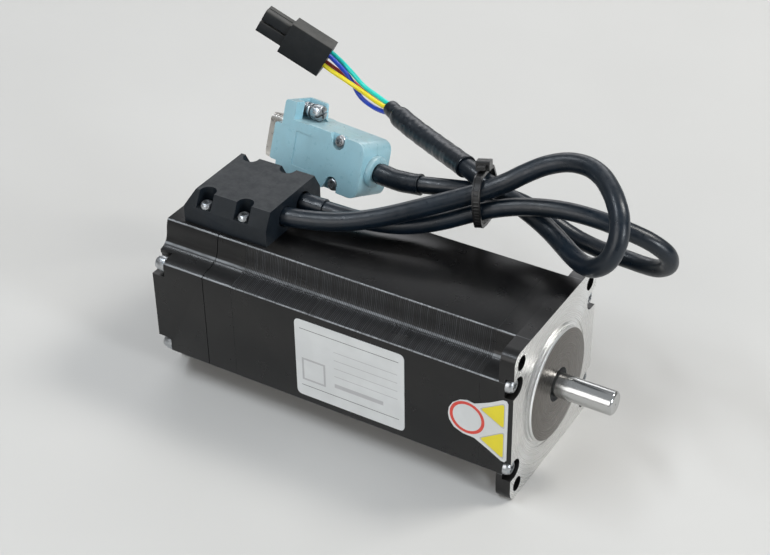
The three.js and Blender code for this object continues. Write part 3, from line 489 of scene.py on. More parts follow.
def moulded(name, colour, rough, grain, depth, var=0.12, dusty=0.12, gloss=0.5,
            scatter=0.0, coat=0.0, worn=None, painted_top_tone=None):
    """Plastic with a fine grain; worn is its edge colour, and upward faces take a painted tone of
    light and shade.
    """
    mat = Mat(name)
    base = mat.mix(mat.patches(size=9, detail=4, rough=0.6, lo=0.3, hi=0.72),
                   shade(colour, 1 - var), shade(colour, 1 + var))
    base = mat.mix(mat.times(mat.patches(size=0.6, lo=0.55, hi=0.8), 0.35),
                   base, shade(colour, 1 - var * 1.4))
    # painted light and shade on upward faces, in patches: their tops lighter or darker as light
    # falls on them
    if painted_top_tone:
        top_tone_patches = mat.patches(size=3.5, rough=0.6, lo=0.3, hi=0.7, to_lo=0.8)
        base = mat.mix(mat.times(mat.upward(), top_tone_patches), base, painted_top_tone)
    if worn:
        base = mat.mix(mat.times(edge_wear(mat, radius=0.28), 0.6), base, worn)
    height = mat.add(mat.times(mat.voronoi(grain), 0.6), mat.noise(grain * 0.7))
    swell = mat.bump(mat.noise(size=7, detail=2), depth=0.05, strength=0.25)
    if scatter:
        mat.surface(Subsurface_Weight=scatter, Subsurface_Radius=(0.0012, 0.001, 0.0009),
                    Subsurface_Scale=1.0)
    return mat.surface(
        Base_Color=dust(mat, base, dusty), Specular_IOR_Level=gloss,
        Roughness=mat.patches(size=2.4, detail=5, rough=0.65, lo=0.3, hi=0.75,
                              to_lo=rough - 0.07, to_hi=rough + 0.08),
        Normal=mat.bump(height, depth, strength=0.6, under=swell),
        Coat_Weight=coat, Coat_Roughness=0.22)


def metal(name, colour, rough, stretch=(1, 1, 1), size=0.3, depth=0.006, var=0.12, tint=None):
    mat = Mat(name)
    base = mat.mix(mat.patches(size=4, detail=4, rough=0.6, lo=0.3, hi=0.75),
                   shade(colour, 1 - var), shade(colour, 1 + var * 0.6))
    if tint:
        base = mat.mix(mat.patches(size=1.7, rough=0.6, lo=0.5, hi=0.8), base, tint)
    lines = mat.noise(size, detail=4, rough=0.6, vector=mat.scaled(*stretch))
    sheen = mat.span(lines, lo=0.3, hi=0.75, to_lo=rough - 0.06, to_hi=rough + 0.1)
    return mat.surface(
        Base_Color=base, Metallic=1.0, Normal=mat.bump(lines, depth, strength=0.7),
        Roughness=mat.add(sheen, mat.times(mat.noise(size=3, detail=4), 0.06)))


def turned(name, colour, rough, aniso=0.75, pitch=0.16, depth=0.006, ring_tone=0.12):
    """Metal turned about the X axis: concentric tool marks, streaked highlights."""
    mat = Mat(name)
    _, y, z = mat.xyz()
    outward = mat.node("CombineXYZ", X=mat.radius(y, z)).outputs[0]
    rings = mat.noise(pitch, detail=4, rough=0.7, vector=outward)
    broad = mat.noise(size=2.2, rough=0.6, vector=outward)
    base = mat.mix(rings, shade(colour, 1 - ring_tone), shade(colour, 1 + ring_tone * 0.5))
    stain = mat.times(mat.patches(size=6, detail=4, rough=0.6, lo=0.5, hi=0.8), 0.25)
    tangent = mat.node("Tangent")
    tangent.direction_type = "RADIAL"
    tangent.axis = "X"
    return mat.surface(
        Base_Color=mat.mix(stain, base, shade(colour, 0.82)), Metallic=1.0,
        Anisotropic=aniso, Tangent=tangent.outputs[0],
        Roughness=mat.span(mat.add(mat.times(rings, 0.5), mat.times(broad, 0.5)),
                           lo=0.3, hi=0.7, to_lo=rough - 0.06, to_hi=rough + 0.08),
        Normal=mat.bump(rings, depth, strength=0.7))


def rubber(name, colour, rough, wrinkle=0.0):
    mat = Mat(name)
    base = mat.mix(mat.patches(size=11, detail=4, lo=0.3, hi=0.75),
                   shade(colour, 0.8), shade(colour, 1.3))
    scuff = mat.times(mat.patches(size=1.4, detail=6, rough=0.7, lo=0.6, hi=0.8), 0.16)
    base = mat.mix(scuff, base, (0.035, 0.04, 0.045))
    swell = mat.bump(mat.noise(size=5, detail=2), depth=0.18, strength=0.5)
    normal = mat.bump(mat.noise(size=0.5, detail=4, rough=0.65), depth=0.02, strength=0.5,
                      under=swell)
    if wrinkle:
        normal = mat.bump(mat.noise(size=1.3, rough=0.6), wrinkle, strength=0.6, under=normal)
    return mat.surface(
        Base_Color=dust(mat, base, amount=0.04), Normal=normal, Specular_IOR_Level=0.48,
        Roughness=mat.patches(size=1.6, detail=5, rough=0.65, lo=0.3, hi=0.75,
                              to_lo=rough - 0.07, to_hi=rough + 0.1),
        Sheen_Weight=0.02, Sheen_Roughness=0.4, Sheen_Tint=(0.75, 0.85, 1.0))


def film(name, colour, rough=0.38):
    mat = Mat(name)
    base = mat.mix(mat.patches(size=8, detail=4, lo=0.35, hi=0.7),
                   shade(colour, 0.95), shade(colour, 1.02))
    base = mat.mix(mat.times(mat.patches(size=0.3, lo=0.62, hi=0.8), 0.12),
                   base, shade(colour, 0.8))
    swell = mat.bump(mat.noise(size=9, detail=2), depth=0.06, strength=0.4)
    return mat.surface(
        Base_Color=base, Coat_Weight=0.3, Coat_Roughness=0.2,
        Roughness=mat.patches(size=2, detail=4, lo=0.3, hi=0.7,
                              to_lo=rough - 0.06, to_hi=rough + 0.08),
        Normal=mat.bump(mat.noise(size=0.4), depth=0.006, strength=0.5, under=swell))


def copper_wire(name):
    mat = Mat(name)
    _, y, z = mat.xyz()
    turns = mat.wave(mat.radius(y, z), pitch=0.45)
    across = mat.wave(mat.add(y, z), pitch=0.55)
    base = mat.mix(mat.patches(size=1.5, detail=4, lo=0.3, hi=0.7),
                   (0.42, 0.14, 0.045), (0.72, 0.32, 0.13))
    return mat.surface(
        Base_Color=base, Metallic=0.85, Coat_Weight=0.6, Coat_Roughness=0.12,
        Roughness=mat.span(turns, lo=-1, hi=1, to_lo=0.32, to_hi=0.22),
        Normal=mat.bump(mat.add(turns, mat.times(across, 0.6)), depth=0.12, strength=0.9))


def laminated_core(name):
    mat = Mat(name)
    wave = mat.wave(mat.xyz()[0], pitch=0.5)
    base = mat.mix(mat.span(wave, lo=-1, hi=1), (0.23, 0.23, 0.24), (0.42, 0.42, 0.43))
    base = mat.mix(mat.times(mat.patches(size=3, detail=4, lo=0.45, hi=0.75), 0.4),
                   base, (0.3, 0.27, 0.24))
    return mat.surface(
        Base_Color=base, Metallic=0.9, Normal=mat.bump(wave, depth=0.03, strength=0.8),
        Roughness=mat.patches(size=0.7, detail=4, lo=0.3, hi=0.7, to_lo=0.3, to_hi=0.5))


def circuit_board(name):
    mat = Mat(name)
    bent = mat.add(mat.xyz()[1], mat.times(mat.noise(size=5, detail=1), 0.004))
    tracks = mat.times(mat.span(mat.wave(bent, pitch=1.6), lo=0.55, hi=0.7),
                       mat.patches(size=4, detail=1, lo=0.45, hi=0.5))
    base = mat.mix(tracks, (0.012, 0.12, 0.045), (0.03, 0.22, 0.08))
    base = mat.mix(mat.times(mat.patches(size=0.35, detail=2, lo=0.66, hi=0.74), 0.7),
                   base, (0.55, 0.56, 0.52))
    return mat.surface(
        Base_Color=base, Normal=mat.bump(tracks, depth=0.035, strength=0.8),
        Roughness=mat.patches(size=2, detail=4, lo=0.3, hi=0.7, to_lo=0.25, to_hi=0.42),
        Coat_Weight=0.4, Coat_Roughness=0.15)


PAINT = black_paint("black_paint")
PAINT_LAM = black_paint("black_paint_laminated", laminated=True)
FACE_ALU = turned("turned_aluminium", (0.80, 0.80, 0.79), rough=0.27, aniso=0.85, pitch=0.22,
                  depth=0.005, ring_tone=0.16)
# the boss face's dark grey-brown colour is a painted dark reflection
BOSS_ALU = turned("boss_aluminium", (0.15, 0.138, 0.126), rough=0.26, aniso=0.15, pitch=0.3,
                  depth=0.0006, ring_tone=0.04)
BARE_ALU = metal("bare_aluminium", (0.72, 0.725, 0.73), rough=0.3, size=0.25, depth=0.008)
STEEL_SHAFT = turned("ground_shaft", (0.50, 0.505, 0.50), rough=0.15, aniso=0.55, pitch=0.2,
                     depth=0.0012, ring_tone=0.04)
STEEL_TURN = metal("ground_steel", (0.66, 0.67, 0.69), rough=0.2, stretch=(0.06, 1, 1),
                   size=0.2, depth=0.004)
ZINC = metal("zinc_plate", (0.50, 0.515, 0.53), rough=0.30, size=0.5, depth=0.0015, var=0.2,
             tint=(0.36, 0.44, 0.50))
SHELL_STEEL = metal("tinned_shell", (0.70, 0.675, 0.635), rough=0.27, size=3.0, depth=0.0012,
                    var=0.06)
# the colours given for upward faces are painted light: painted highlights on the tops of the cover
# and plug, painted shade on the hood's top
COVER = moulded("cover_plastic", (0.0045, 0.0082, 0.0128), rough=0.5, grain=0.32, depth=0.014,
                var=0.15, dusty=0.03, gloss=0.34, worn=(0.035, 0.04, 0.045),
                painted_top_tone=(0.0095, 0.0125, 0.0150))
PLUG = moulded("plug_nylon", (0.0012, 0.0036, 0.0066), rough=0.4, grain=0.28, depth=0.010,
               var=0.16, dusty=0.05, gloss=0.12, worn=(0.05, 0.065, 0.08),
               painted_top_tone=(0.088, 0.086, 0.080))
INSERT = moulded("insert_plastic", (0.014, 0.014, 0.016), rough=0.45, grain=0.3, depth=0.012)
READER = moulded("reader_plastic", (0.013, 0.013, 0.014), rough=0.4, grain=0.3, depth=0.012)
HOOD = moulded("hood_blue", (0.335, 0.605, 0.705), rough=0.33, grain=0.26, depth=0.007,
               var=0.05, dusty=0.02, gloss=0.55, scatter=0.05, coat=0.2,
               worn=(0.54, 0.74, 0.79), painted_top_tone=(0.285, 0.405, 0.435))
INSULATOR = moulded("insulator_nylon", (0.72, 0.68, 0.56), rough=0.45, grain=0.3, depth=0.015,
                    var=0.08, dusty=0.0, scatter=0.15)
CABLE = rubber("cable_jacket", (0.0018, 0.0064, 0.0125), rough=0.34)
SHRINK = rubber("shrink_sleeve", (0.0022, 0.0062, 0.0115), rough=0.33, wrinkle=0.05)
TIE = moulded("tie_nylon", (0.0075, 0.0075, 0.008), rough=0.36, grain=0.5, depth=0.01,
              var=0.15, dusty=0.05)
LABEL = film("label_film", (0.66, 0.675, 0.675))
LABEL_INK = film("label_ink", (0.10, 0.10, 0.105), rough=0.45)
LABEL_GREY = film("label_grey", (0.46, 0.46, 0.47), rough=0.45)
INK_RED = film("ink_red", (0.68, 0.055, 0.035), rough=0.4)
INK_YELLOW = film("ink_yellow", (0.78, 0.66, 0.015), rough=0.4)
COPPER = copper_wire("copper_wire")
CORE = laminated_core("rotor_laminations")
MAGNET = metal("magnet_nickel", (0.45, 0.46, 0.48), rough=0.35, size=0.6, depth=0.01)
HUB = turned("hub_aluminium", (0.72, 0.73, 0.74), rough=0.28)
DISC = film("encoder_film", (0.62, 0.68, 0.70), rough=0.18)
BOARD = circuit_board("circuit_board")
GOLD = metal("pin_gold", (0.83, 0.62, 0.25), rough=0.22)
WIRE = {
    name: moulded("wire_" + name, colour, rough=0.36, grain=0.6, depth=0.006, var=var,
                  dusty=0.0, scatter=0.05, coat=0.1)
    for name, colour, var in (
        ("green", (0.002, 0.56, 0.47), 0.1), ("yellow", (0.80, 0.66, 0.01), 0.08),
        ("blue", (0.004, 0.045, 0.46), 0.1), ("red", (0.42, 0.03, 0.02), 0.1))
}

# --------------------------------------------------------------- housing pieces
X_BOSS, X_FACE, X_EAR = -19.4, -21.0, -26.0  # boss face, flange face, flange back
X_CAP_F, X_CAP_R = -32.3, -122.8  # the ends of the stator, front and rear
X_COVER, X_BACK = -134.1, -154.6  # the ends of the encoder cover
CAP_GAP, COVER_GAP = 0.05, 0.13  # what each piece stands off from these planes
BOLT_Y, BOLT_Z = 25.8, 16.0
LID_SCREW_X = (-141.05, -126.4)  # screws of the cable exit cover, rear and front
LID_SCREW_Y = 13.4
SIDES = (-1, 1)
CORNERS = {"near_top": (-1, 1), "far_top": (1, 1), "far_bottom": (1, -1), "near_bottom": (-1, -1)}

# (y, z) of the body outline from the top flat's edge down to the diagonal
HALF_CORNER = [
    (17.2, 28.2), (17.75, 27.98), (18.0, 27.4), (18.35, 26.4), (18.62, 25.2), (18.78, 24.0),
    (18.95, 22.8), (19.2, 21.9), (19.5, 21.15), (19.85, 20.6), (20.25, 20.25),
]


def body_section():
    corner = HALF_CORNER + [(z, y) for y, z in reversed(HALF_CORNER[:-1])]
    fine = smooth_outline(corner, 0.42)
    outline = []
    for side_y, side_z, order in ((1, 1, -1), (-1, 1, 1), (-1, -1, -1), (1, -1, 1)):
        outline += [(side_y * y, side_z * z) for y, z in fine[::order]]
    return outline


SECTION = body_section()


def notches(x0, x1):
    """Round seats for the bolt heads, open to the sides."""
    radius = 3.45
    tools = []
    for side_y, side_z in CORNERS.values():
        y, z = side_y * BOLT_Y, side_z * BOLT_Z
        tools.append(cyl("X", radius, x0, x1, 36, (y, z)))
        tools.append(box(x0, x1, y, side_y * 31, z - radius, z + radius))
    return tools


def bolt_holes(x0, x1):
    return [cyl("X", 1.7, x0, x1, 20, (side_y * BOLT_Y, side_z * BOLT_Z))
            for side_y, side_z in CORNERS.values()]


def lid_holes(x, z0, z1, radius=1.35, count=16):
    return [cyl("Z", radius, z0, z1, count, (x, side * LID_SCREW_Y)) for side in SIDES]


def front_cap():
    """Front cap with its flange and round boss."""
    half, hole = 28.2, 23.57  # half the flange, place of its corner holes
    cap = prism(rounded(rectangle(half, -half, half, -half, 4.5), 10), X_EAR, X_FACE)
    join(cap, prism(SECTION, X_CAP_F + CAP_GAP, X_EAR + 0.5))
    boss = lathe([
        (-22, 0), (-22, 19.9), (X_FACE + 0.25, 19.75), (X_FACE + 0.25, 19.35),
        (X_FACE + 0.35, 19.05), (X_BOSS - 0.45, 19.05), (X_BOSS - 0.02, 18.6),
        (X_BOSS, 18.5), (X_BOSS, 0)], 96)
    # shallow turned groove round the boss
    cut(cap, ring(19.9, 21.3, X_FACE - 0.22, X_FACE + 1, 96))
    join(cap, boss)
    # shaft hole, bearing seat, and room for the windings
    cut(cap, cyl("X", 5.7, -26, -18, 64), cyl("X", 11.2, -33, -24.9, 48),
        ring(14.6, 24.6, -33, -27.0))
    cut(cap, *[cyl("X", 2.5, -27, -20, 40, (side_y * hole, side_z * hole))
               for side_y, side_z in CORNERS.values()])
    cut(cap, *notches(-24.0, -20.0))
    cut(cap, *bolt_holes(-34, -23.5))
    finish(cap, "flange_cap", [PAINT, FACE_ALU, BOSS_ALU, BARE_ALU], "front_end_cap",
           bevel=0.22, angle=40)
    for face in cap.data.polygons:
        x, y, z = face.center / MM
        radius = math.hypot(y, z)
        index = 0
        if face.normal.x > 0.5 and x > X_BOSS - 0.06 and radius < 18.6:
            index = 2
        elif x > X_FACE - 0.3 and (face.normal.x > 0.3 or radius < 21.5) and radius > 5.0:
            index = 1
        elif radius < 6 and x > X_EAR:
            index = 3
        face.material_index = index


def stator_body():
    """Stator stack; the bore's outline runs round eight poles and the slots between."""
    slot, shoe, bore, neck = 24.0, 16.3, 15.3, 2.6  # radii, then half a pole's neck
    root = math.sqrt(slot**2 - neck**2)
    pole = [(root, -neck), (17.7, -neck), polar(shoe, -17.5)]
    pole += [polar(bore, angle) for angle in (-17.5, -13, -8.75, -4.4, 0, 4.4, 8.75, 13, 17.5)]
    pole += [polar(shoe, 17.5), (17.7, neck), (root, neck)]
    pole += [polar(slot, angle) for angle in (12, 18, 22.5, 27, 33)]
    outline = []
    for k in range(8):
        c, s = polar(1, 45 * k)
        outline += [(x * c - y * s, x * s + y * c) for x, y in pole]
    body = prism(SECTION, X_CAP_R, X_CAP_F)
    cut(body, prism(outline, -125, -30))
    cut(body, *bolt_holes(-125, -30))
    finish(body, "stator_body", PAINT_LAM, "stator_stack", 0.12, 1, 50)


def rear_cap():
    cap = prism(SECTION, X_COVER + COVER_GAP, X_CAP_R - CAP_GAP)
    cut(cap, cyl("X", 5.2, -136, -130, 40), cyl("X", 11.2, -131.3, -120, 48),
        ring(14.6, 24.6, -128.8, -122))
    cut(cap, box(-128.2, -124.2, -6, 6, 20, 30), *lid_holes(LID_SCREW_X[1], 24.4, 29))
    cut(cap, *bolt_holes(-136, -122))
    finish(cap, "rear_cap_body", PAINT, "rear_end_cap", 0.28, 2, 50)


def encoder_cover():
    cover = prism(SECTION, X_BACK, X_COVER - COVER_GAP)
    cavity = box(-152.4, -130, -25.8, 25.8, -11.3, 11.3)
    join(cavity, box(-152.4, -130, -16.5, 16.5, -25.8, 25.8),
         box(-152.4, -130, -22.2, 22.2, -16.4, 16.4))
    cut(cover, cavity)
    cut(cover, *notches(-158, -149.7))
    cut(cover, *[box(-158, -149.7, side_y * 22.9, side_y * 30, side_z * 16, side_z * 22)
                 for side_y, side_z in CORNERS.values()])
    # four posts inside the back wall
    join(cover, *[cyl("X", 2.0, -152.8, -146.75, 24, (side_y * 12.5, side_z * 12.5))
                  for side_y, side_z in CORNERS.values()])
    cut(cover, box(-145.5, -136.5, -6, 6, 24, 30), *lid_holes(LID_SCREW_X[0], 24, 29))
    cut(cover, *bolt_holes(-152, -130))
    finish(cover, "encoder_cover_body", PAINT, "encoder_cover", 0.7, 3, 50)


def cable_cover():
    """Box on top of the body with chamfered long sides and rear."""
    x0, x1, z0, z1, half = -148.7, -116.4, 28.26, 39.8, 16.0
    wall, side_z, top = 2.1, 34.2, 12.9  # wall, chamfer's foot, half the flat top
    cover = prism([(x0, z0), (x1, z0), (x1, z1), (x0 + 3.2, z1), (x0, 34.0)], -half, half, "Y")
    across = [(-half, z0 - 1), (half, z0 - 1), (half, side_z), (top, z1), (top, z1 + 1),
              (-top, z1 + 1), (-top, z1), (-half, side_z)]
    common(cover, prism(across, x0 - 1, x1 + 1))
    cut(cover, box(x0 + wall, x1 - wall, -8.5, 8.5, 20, 37.6),
        box(-123.5, x1 - wall, -11.5, 11.5, 20, 37.3))
    seat, seat_y = 2.85, 12.3
    tools = []
    for x in LID_SCREW_X:
        for side, hole in zip(SIDES, lid_holes(x, 27, 35.5, count=20)):
            tools += [cyl("Z", seat, 34.5, 42, 40, (x, side * seat_y)),
                      box(x - seat, x + seat, side * seat_y, side * 17, 34.5, 42), hole]
    cut(cover, *tools)
    # cable exits in the front wall
    cut(cover, cyl("X", 3.5, -120, -115, 40, (-4.9, 33.87)),
        cyl("X", 3.95, -120, -115, 40, (5.66, 33.33)))
    finish(cover, "cable_cover_body", COVER, "cable_exit_cover", 0.3, 3)


front_cap()
stator_body()
rear_cap()
encoder_cover()
cable_cover()


# -------------------------------------------------------------------- fasteners
def pan_screw(head_r, head_h, shank_r, shank_l):
    """Cross-head screw, its head seated at x = 0 and looking to +X."""
    profile = [(-shank_l, 0), (-shank_l, shank_r * 0.6), (-shank_l + shank_r * 0.5, shank_r)]
    pitch = shank_r * 0.36
    x = -min(shank_l - 1.0, 7.5)
    while x < -0.8:
        profile += [(x, shank_r), (x + pitch * 0.5, shank_r * 0.86)]
        x += pitch
    profile += [(-0.4, shank_r), (0, shank_r), (0, head_r * 0.97), (0.08, head_r)]
    for part in (0.4, 0.58, 0.72, 0.84, 0.93, 0.98):
        radius = head_r * math.sqrt(max(0.0, 1 - max(0.0, part - 0.32) ** 2 * 1.05))
        profile.append((head_h * part, radius))
    profile += [(head_h, head_r * 0.62), (head_h, 0)]
    screw = lathe(profile, 40)
    half_w, half_l, depth = head_r * 0.16, head_r * 0.60, min(head_h * 0.62, 1.5)
    slots = []
    for angle in (0, 90):
        slot = prism(rectangle(-half_l, half_l, -half_w, half_w), head_h - depth, head_h + 1)
        # narrow the floor
        for vert in slot.data.vertices:
            if vert.co.x < (head_h - depth + 0.1) * MM:
                vert.co.y *= 0.55
        if angle:
            move(slot, turn(math.radians(angle)))
        slots.append(slot)
    return cut(screw, *slots)


def put_screw(template, name, node, matrix):
    screw = bpy.data.objects.new(name, template.data.copy())
    SCENE.collection.objects.link(screw)
    finish(move(screw, matrix), name, ZINC, node, bevel=0.05, angle=40)


FACE_UP = turn(-math.pi / 2, "Y")  # turns a screw's +X to +Z


def housing_screws():
    bolt = pan_screw(2.6, 2.2, 1.4, 106.0)
    rear = pan_screw(2.6, 3.9, 1.4, 18.2)
    lid = pan_screw(2.2, 1.8, 1.05, 9.2)
    for (name, (side_y, side_z)), angle in zip(CORNERS.items(), (17, 38, 62, 29)):
        y, z = side_y * BOLT_Y, side_z * BOLT_Z
        spin = turn(math.radians(angle))
        put_screw(bolt, "bolt_" + name, "front_bolt_" + name, shift(-23.98, y, z) @ spin)
        put_screw(rear, "screw_rear_" + name, "rear_screw_" + name,
                  shift(-149.72, y, z) @ turn(math.pi, "Z") @ spin)
    places = [(x, side * LID_SCREW_Y) for x in LID_SCREW_X for side in SIDES]
    for k, (x, y) in enumerate(places, 1):
        put_screw(lid, "screw_cover_%d" % k, "cover_screw_%d" % k,
                  shift(x, y, 34.52) @ FACE_UP @ turn(0.5 * k))
    for template in (bolt, rear, lid):
        drop(template)


housing_screws()

# ------------------------------------------------------------------------ shaft
# (x, radius), back to front; the tip has a small centre hole
SHAFT = [
    (-144.0, 0), (-144.0, 2.7), (-143.7, 3.0), (-131.2, 3.0), (-131.2, 4.0), (-122.9, 4.0),
    (-122.9, 5.0), (-32.2, 5.0), (-32.2, 4.0), (-0.62, 4.0), (-0.5, 3.97), (-0.08, 3.5),
    (0, 3.4), (0, 0.55), (-0.45, 0.0),
]
finish(lathe(SHAFT, 96), "output_shaft", STEEL_SHAFT, "shaft", body="rotor")

# ----------------------------------------------------------------------- labels
LABEL_BACK = -28.22  # y of the side the labels lie on


def assemble(name, materials, node, parts):
    """One mesh from (object, material index) parts."""
    work = bmesh.new()
    for part, index in parts:
        for face in part.data.polygons:
            face.material_index = index
        work.from_mesh(part.data)
    mesh = bpy.data.meshes.new(name)
    work.to_mesh(mesh)
    work.free()
    base = parts[0][0]
    base.data = mesh
    for part, _ in parts[1:]:
        drop(part)
    base.name = name
    for material in materials:
        mesh.materials.append(material)
    report(base, "housing", node)


def nameplate():
    """A blank printed form: plain rules, a plain square and a plain band."""
    film_part = prism(rounded(rectangle(-98.5, -58.4, -15, 15, 2), 8), -28.44, LABEL_BACK, "Y")
    parts = [(film_part, 0)]
    # x0, x1, z0, z1, material index, front y
    bars = [(-96.6, -60.3, -10.9, -10.7, 1, -28.46), (-96.6, -60.3, 11.6, 11.8, 1, -28.46)]
    bars += [(-84.0, -60.8, z, z + 0.22, 2, -28.46) for z in (6.6, 3.4, 0.2, -3.0)]
    bars += [(-84.0, -66.0, -7.4, -5.9, 2, -28.46), (-96.2, -87.4, -8.6, 0.2, 2, -28.46),
             (-95.5, -88.1, -7.9, -0.5, 3, -28.464)]
    for *limits, index, front in bars:
        parts.append((prism(rectangle(*limits), front, -28.40, "Y"), index))
    assemble("nameplate", [LABEL, LABEL_INK, LABEL_GREY, LABEL], "nameplate_label", parts)


# (x, z) round the sticker
STICKER = [
    (-42.9, -0.7), (-42.6, 1.6), (-41.4, 3.9), (-38.9, 5.9), (-36.4, 6.7), (-34.0, 6.3),
    (-29.1, 8.6), (-24.4, 11.5), (-23.1, 11.5), (-22.55, 10.6), (-22.6, -11.4), (-23.3, -12.3),
    (-24.4, -12.1), (-28.3, -9.8), (-33.7, -6.9), (-37.7, -6.7), (-40.8, -5.4), (-42.5, -3.0),
]
TRIANGLES = [
    [(-32.4, 5.3), (-23.5, 10.7), (-23.5, 0.35)],
    [(-32.4, -6.2), (-23.5, -0.35), (-23.5, -11.5)],
]


def side_label():
    """Sticker with a red ring and two grey-edged yellow triangles."""
    back, centre = -28.38, (-36.3, 0.0)
    parts = [(prism(STICKER, -28.40, LABEL_BACK, "Y"), 0)]
    red = cyl("Y", 6.0, -28.425, back, 72, centre)
    cut(red, cyl("Y", 4.95, -28.6, -28.3, 72, centre))
    parts.append((red, 1))
    for triangle in TRIANGLES:
        mid = Vector([sum(values) / 3 for values in zip(*triangle)])
        for scale, front, index in ((0.99, -28.425, 2), (0.90, -28.44, 3)):
            corners = [(mid.x + (x - mid.x) * scale, mid.y + (z - mid.y) * scale, 0.7)
                       for x, z in triangle]
            parts.append((prism(rounded(corners, 5), front, back, "Y"), index))
    assemble("side_label", [LABEL, INK_RED, LABEL_GREY, INK_YELLOW], "side_sticker", parts)


nameplate()
side_label()

# ----------------------------------------------------------------------- cables
# (x, y, z) along the centre lines, from the cable exit cover outwards
POWER = [
    (-123.52, -4.94, 33.89), (-116.15, -4.74, 33.87), (-107.83, -3.06, 34.13),
    (-99.78, -0.67, 34.77), (-92.25, 2.38, 35.99), (-85.2, 6.15, 37.67), (-78.56, 10.45, 39.54),
    (-72.14, 14.95, 41.4), (-65.77, 19.44, 43.31), (-59.42, 23.82, 45.51), (-53.52, 27.75, 48.34),
    (-48.29, 30.8, 51.76), (-42.38, 33.14, 55.17), (-35.27, 34.43, 57.7), (-28.26, 33.43, 58.72),
    (-22.38, 30.18, 58.77), (-17.6, 25.69, 58.36), (-13.49, 21.07, 57.26), (-10.2, 16.94, 54.5),
    (-8.77, 13.34, 49.16), (-10.54, 11.12, 42.87), (-14.99, 11.93, 38.41), (-20.19, 15.26, 35.76),
    (-25.59, 19.66, 34.35), (-31.12, 24.19, 33.89), (-37.03, 28.22, 34.33), (-43.86, 31.22, 35.72),
    (-51.76, 33.12, 37.8), (-59.87, 34.42, 39.86), (-67.27, 36.14, 41.5), (-73.79, 38.93, 42.07),
    (-79.79, 42.55, 41.44), (-85.68, 46.54, 40.33), (-91.87, 50.47, 39.42), (-98.53, 54.15, 38.98),
    (-105.37, 57.68, 38.9), (-112.02, 61.35, 39.0), (-115.2, 63.25, 39.08),
]
ENCODER = [
    (-123.2, 5.6, 33.41), (-116.19, 5.67, 33.33), (-108.05, 6.15, 32.82), (-99.89, 6.99, 32.38),
    (-91.92, 8.36, 32.14), (-84.15, 10.48, 32.2), (-76.75, 13.49, 33.08), (-69.83, 17.1, 34.84),
    (-63.33, 20.83, 37.1), (-56.89, 24.14, 39.21), (-50.13, 26.65, 40.88), (-43.02, 28.38, 42.07),
    (-35.82, 29.62, 42.78), (-28.62, 30.62, 42.74), (-21.32, 31.8, 41.75), (-13.87, 33.55, 39.69),
    (-6.8, 36.05, 36.41), (-2.14, 38.83, 31.64), (-2.23, 41.44, 26.2), (-6.43, 43.98, 21.89),
    (-12.27, 46.63, 19.51), (-18.81, 48.53, 18.43), (-25.91, 49.12, 18.32), (-33.26, 48.73, 19.55),
    (-40.39, 47.89, 22.25), (-46.65, 46.79, 25.9), (-51.76, 45.15, 29.42), (-56.53, 42.93, 32.28),
    (-62.23, 40.32, 34.29), (-68.99, 37.67, 35.16), (-76.19, 35.31, 35.21), (-83.37, 33.68, 34.73),
    (-90.46, 33.04, 33.77), (-97.48, 33.71, 32.76), (-106.09, 35.07, 32.43),
    (-115.65, 36.59, 32.14),
]
SLEEVE_END = (-118.38, 65.24, 39.18)


def even(radius):
    return lambda along, length: radius


def ease(x):
    x = min(max(x, 0.0), 1.0)
    return x * x * (3 - 2 * x)


def neck(left):
    """How far the lead sleeve draws in, by the distance left to its end."""
    return 0.85 * (1 - ease((left - 4.2) / 2.6))


def lead_sleeve(along, length):
    radius = 3.78 - neck(length - along) + 0.10 * ease(1 - abs(along - 0.8) / 0.8)
    return radius + 0.05 * math.sin(along * 0.9) + 0.03 * math.sin(along * 2.3 + 1)


def lead_sleeve_in(along, length):
    left = length - along
    return 3.22 if left > 6.5 else 3.22 - neck(left)


def short_sleeve(radius, rate, phase):
    """Slightly flared at both ends, with a faint ripple."""
    def at(along, length):
        end = min(along, length - along)
        return radius + 0.10 * (1 - ease(end / 0.9)) + 0.05 * math.sin(along * rate + phase)
    return at


def put_sleeve(name, node, points, radius, step, rounding, inner):
    finish(sweep(points, radius, step, rounding, inner=inner), name, SHRINK, node,
           angle=60)


for name, node, points, radius in (("power_lead", "power_cable", POWER, 3.15),
                                   ("encoder_lead", "encoder_cable", ENCODER, 2.93)):
    finish(sweep(points, even(radius), 1.2), name, CABLE, node, angle=60)
put_sleeve("lead_sleeve", "power_lead_sleeve", POWER[30:] + [SLEEVE_END],
           lead_sleeve, 0.5, 0.25, lead_sleeve_in)
put_sleeve("exit_sleeve", "encoder_exit_sleeve",
           [(-115.95, 5.68, 33.32), (-112.1, 5.87, 33.09), (-108.3, 6.13, 32.84)],
           short_sleeve(3.5, 1.1, 0), 0.4, 0.2, even(3.05))
put_sleeve("hood_sleeve", "encoder_hood_sleeve",
           [(-87.67, 33.16, 34.2)] + ENCODER[32:34] + [(-104.5, 34.82, 32.47)],
           short_sleeve(3.55, 0.8, 2), 0.4, 0.2, even(3.05))

# -------------------------------------------- wires from the power lead to its plug
PLUG_AT = Vector((-150.78, 74.44, 46.46))  # middle of the plug's wire end
PLUG_AXIS = Vector((-0.8553, -0.2036, 0.4765))  # away from the wires
PLUG_UP = Vector((0.3938, 0.3424, 0.8531))
PLUG_SIDE = Vector((0.3367, -0.9172, 0.2127))
LEAD_END = Vector((-116.95, 64.35, 39.13))
LEAD_AXIS = Vector((-0.85, 0.526, 0.025)).normalized()
